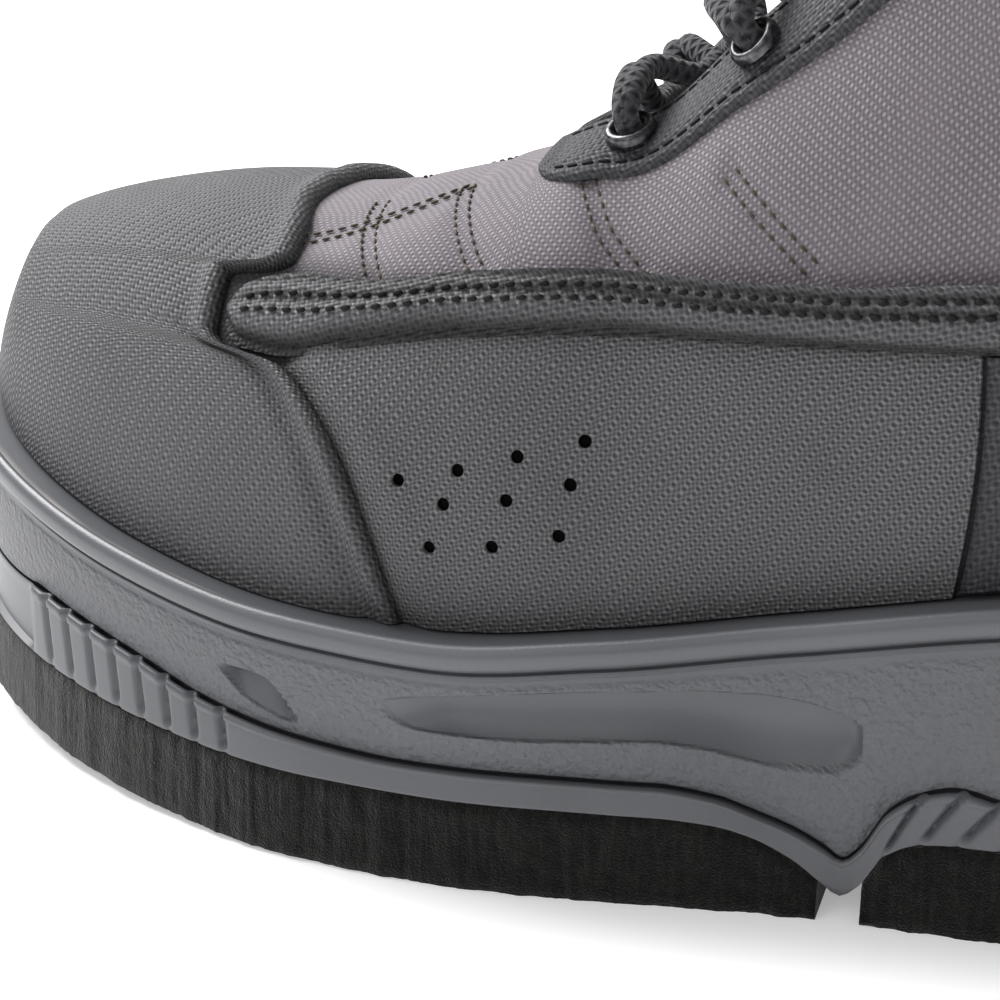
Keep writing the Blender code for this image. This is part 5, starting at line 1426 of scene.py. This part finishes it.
def cord_tube(work, path, radius, layer):
    """A closed tube of that radius along a path, with its length and turn as its map."""
    tangent = np.gradient(path, axis=0)
    tangent /= np.linalg.norm(tangent, axis=1)[:, None]
    frame_x = np.cross(tangent[0], (0, 0, 1.0))
    rings = []
    for place, forward in zip(path, tangent):
        frame_x = frame_x - forward * frame_x.dot(forward)
        frame_x /= np.linalg.norm(frame_x)
        frame_y = np.cross(forward, frame_x)
        rings.append([work.verts.new(place + radius * (math.cos(turn) * frame_x + math.sin(turn) * frame_y))
                      for turn in np.linspace(0, 2 * math.pi, LACE_SIDES, endpoint=False)])
    length = run_lengths(path) / MM
    for i in range(len(rings) - 1):
        for k in range(LACE_SIDES):
            after = (k + 1) % LACE_SIDES
            face = work.faces.new((rings[i][k], rings[i][after], rings[i + 1][after], rings[i + 1][k]))
            for loop, (u, v) in zip(face.loops, ((i, k), (i, k + 1), (i + 1, k + 1), (i + 1, k))):
                loop[layer].uv = (length[u], v / LACE_SIDES)
    work.faces.new(rings[0][::-1])
    work.faces.new(rings[-1])


lace_finish, lace_wire, lace_shader = new_finish("lace_cord", 0.82, specular=0.3, sheen=0.2)
lace_map = lace_wire.node("ShaderNodeUVMap", uv_map="cloth")
lace_along = lace_wire.node("ShaderNodeSeparateXYZ", {0: lace_map})
lace_round = Wire(lace_wire.tree, lace_along.socket.node.outputs[1])
turns_along, turns_round = lace_along * 0.55, lace_round * 4
braid = lace_wire.maths("SINE", (turns_along + turns_round) * (2 * math.pi))
counter_braid = lace_wire.maths("SINE", (turns_along - turns_round) * (2 * math.pi))
braid_height = lace_wire.maths("MAXIMUM", braid, counter_braid)
lace_colour = ((braid_height + 0.6) * 0.6).clamp().mixed(linear(22, 22, 24), linear(66, 66, 70))
lace_colour.feed(lace_shader, "Base Color")
braid_height.bump(lace_shader, 0.8, 0.25 * MM)

work = bmesh.new()
lace_layer = work.loops.layers.uv.new("cloth")
for first_side in (OUTER, INNER):
    route = lace_points(EYELET_ROWS[0], EYELET_ROWS[0], first_side)[:6][::-1]
    for number in range(len(EYELET_ROWS) - 1):
        lace_side = first_side if number % 2 == 0 else -first_side
        route = [*route, *lace_points(EYELET_ROWS[number], EYELET_ROWS[number + 1], lace_side)[1:]]
    cord_tube(work, smooth_path(route, LACE_STEP), LACE_RADIUS, lace_layer)
bmesh.ops.recalc_face_normals(work, faces=work.faces)
lace_mesh = bpy.data.meshes.new("lace_braided")
work.to_mesh(lace_mesh)
work.free()
lace = finished("lace_braided", lace_mesh, lace_finish)
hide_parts("lace")


# The stitching: short lengths of thread pulled into the cloth, black on the strip and the stays, dark
# olive on the canvas. One tree lays a stitch at every pitch along the sewn lines.
STITCH_SIZES = ("Pitch", "Length", "Thickness")


def stitch_tree(finish):
    """Lays one stitch after another along every line of its mesh."""
    tree = bpy.data.node_groups.new("row_of_stitches", "GeometryNodeTree")
    tree.interface.new_socket("Geometry", in_out="INPUT", socket_type="NodeSocketGeometry")
    for label in STITCH_SIZES:
        tree.interface.new_socket(label, in_out="INPUT", socket_type="NodeSocketFloat")
    tree.interface.new_socket("Geometry", in_out="OUTPUT", socket_type="NodeSocketGeometry")

    def node(kind, sockets=(), **settings):
        made = tree.nodes.new(kind)
        for setting, value in settings.items():
            setattr(made, setting, value)
        for key, value in dict(sockets).items():
            if isinstance(value, bpy.types.NodeSocket):
                tree.links.new(value, made.inputs[key])
            else:
                made.inputs[key].default_value = value
        return made
    given = node("NodeGroupInput")
    line = node("GeometryNodeMeshToCurve", {"Mesh": given.outputs["Geometry"]})
    places = node("GeometryNodeCurveToPoints", {"Curve": line.outputs[0], "Length": given.outputs["Pitch"]},
                  mode="LENGTH")
    bead = node("GeometryNodeMeshUVSphere", {"Segments": 8, "Rings": 6, "Radius": 0.5})
    size = node("ShaderNodeCombineXYZ", {0: given.outputs["Thickness"], 1: given.outputs["Thickness"],
                                         2: given.outputs["Length"]})
    shaped = node("GeometryNodeTransform", {"Geometry": bead.outputs[0], "Scale": size.outputs[0]})
    rows = node("GeometryNodeInstanceOnPoints", {"Points": places.outputs[0], "Instance": shaped.outputs[0],
                                                 "Rotation": places.outputs["Rotation"]})
    real = node("GeometryNodeRealizeInstances", {0: rows.outputs[0]})
    smooth = node("GeometryNodeSetShadeSmooth", {0: real.outputs[0]})
    painted = node("GeometryNodeSetMaterial", {"Geometry": smooth.outputs[0], "Material": finish})
    tree.links.new(painted.outputs[0], node("NodeGroupOutput").inputs[0])
    return tree


def thread_finish(name, colour):
    """Twisted thread, darker in its turns."""
    made, wire, shader = new_finish(name, 0.7, specular=0.3)
    place = wire.node("ShaderNodeTexCoord", output=3)
    twist = wire.noise(place, 4 / MM, 2.0)
    twist.mixed(toned(colour, 0.5), colour).feed(shader, "Base Color")
    return made


def sew(name, lines, finish, sizes):
    """Stitches along these lines of points, as one plain mesh. sizes are those of STITCH_SIZES."""
    points, edges = [], []
    for line in lines:
        edges += [(len(points) + k, len(points) + k + 1) for k in range(len(line) - 1)]
        points += [tuple(place) for place in line]
    mesh = bpy.data.meshes.new(name)
    mesh.from_pydata(points, edges, [])
    guide = bpy.data.objects.new(name + "_guide", mesh)
    bpy.context.scene.collection.objects.link(guide)
    tree = stitch_tree(finish)
    layer = guide.modifiers.new("stitches", "NODES")
    layer.node_group = tree
    for socket in tree.interface.items_tree:
        if socket.in_out == "INPUT" and socket.name in STITCH_SIZES:
            layer[socket.identifier] = sizes[STITCH_SIZES.index(socket.name)]
    graph = bpy.context.evaluated_depsgraph_get()
    sewn = bpy.data.meshes.new_from_object(guide.evaluated_get(graph))
    sewn.name = name
    bpy.data.objects.remove(guide)
    piece = finished(name, sewn, finish)
    return piece


# Pitch, length and thickness of the stitches
STRIP_STITCH = (2.4 * MM, 1.5 * MM, 0.95 * MM)
CANVAS_STITCH = (1.9 * MM, 1.3 * MM, 0.48 * MM)
STAY_STITCH = (2.4 * MM, 1.8 * MM, 0.6 * MM)
STRIP_THREAD_LIFT = 0.25 * MM
CANVAS_THREAD_DROP = 0.3 * MM
STAY_THREAD_DROP = 0.15 * MM
HALF_ROW_GAP = 1.05 * MM
black_thread = thread_finish("black_thread", linear(26, 26, 28))
olive_thread = thread_finish("olive_thread", linear(86, 78, 66))
strip_lines = []
line_rows = np.concatenate((np.linspace(2.66, HEEL_BEND_ROW, 160),
                            crowded_rows(HEEL_BEND_ROW, HEEL_ROW, 20)[1:],
                            crowded_rows(HEEL_ROW, heel_row_at("high", 0.0), 30)[1:-2]))
low, high = (INSTEP_HEIGHT * STRIP.read(column, line_rows) for column in ("low", "high"))
low_arch, high_arch = arch_at_height(line_rows, low), arch_at_height(line_rows, high)
back = under_overlay(line_rows)
for side in (OUTER, INNER):
    for thread in STRIP_THREADS:
        arch = arches_between(low_arch, high_arch, thread, line_rows)
        share = np.clip((form_point(line_rows, arch, side, back)[:, 2] - low) / (high - low), 0, 1)
        face = back + STRIP_THREAD_LIFT + strip_face(share, high - low)
        strip_lines.append(form_point(line_rows, arch, side, face))
sew("strip_stitches", strip_lines, black_thread, STRIP_STITCH)


def seam_line(rows, arches, side, aside, outset):
    """A line of points over the form, moved aside along its face."""
    near = 0.002
    line = form_point(rows, arches, side, outset)
    up = form_point(rows, arches + near, side, outset) - form_point(rows, arches - near, side, outset)
    along = form_point(rows + near, arches, side, outset) - form_point(rows - near, arches, side, outset)
    away = np.cross(np.gradient(line, axis=0), np.cross(up, along))
    return line + aside * away / np.linalg.norm(away, axis=1)[:, None]


canvas_lines = []
share = np.linspace(0, 1, 40)
for side in (OUTER, INNER):
    for row_a, arch_a, row_b, arch_b in CANVAS_LINES:
        rows, arches = row_a + (row_b - row_a) * share, arch_a + (arch_b - arch_a) * share
        thread_face = CANVAS_FACE - CANVAS_THREAD_DROP + vamp_swell(rows, arches)
        for aside in (-HALF_ROW_GAP, HALF_ROW_GAP):
            canvas_lines.append(seam_line(rows, arches, side, aside, thread_face))
sew("canvas_stitches", canvas_lines, olive_thread, CANVAS_STITCH)

stay_line_rows = np.linspace(THROAT_ROW + 0.25, CUFF_ROW - 0.3, 150)
thread_face = STAY_FACE - STAY_THREAD_DROP
stay_lines = [form_point(stay_line_rows, arches_down(stay_line_rows, down), side, thread_face)
              for side in (OUTER, INNER) for down in (STAY_THREAD, STAY_WIDTH - STAY_THREAD)]
sew("stay_stitches", stay_lines, black_thread, STAY_STITCH)
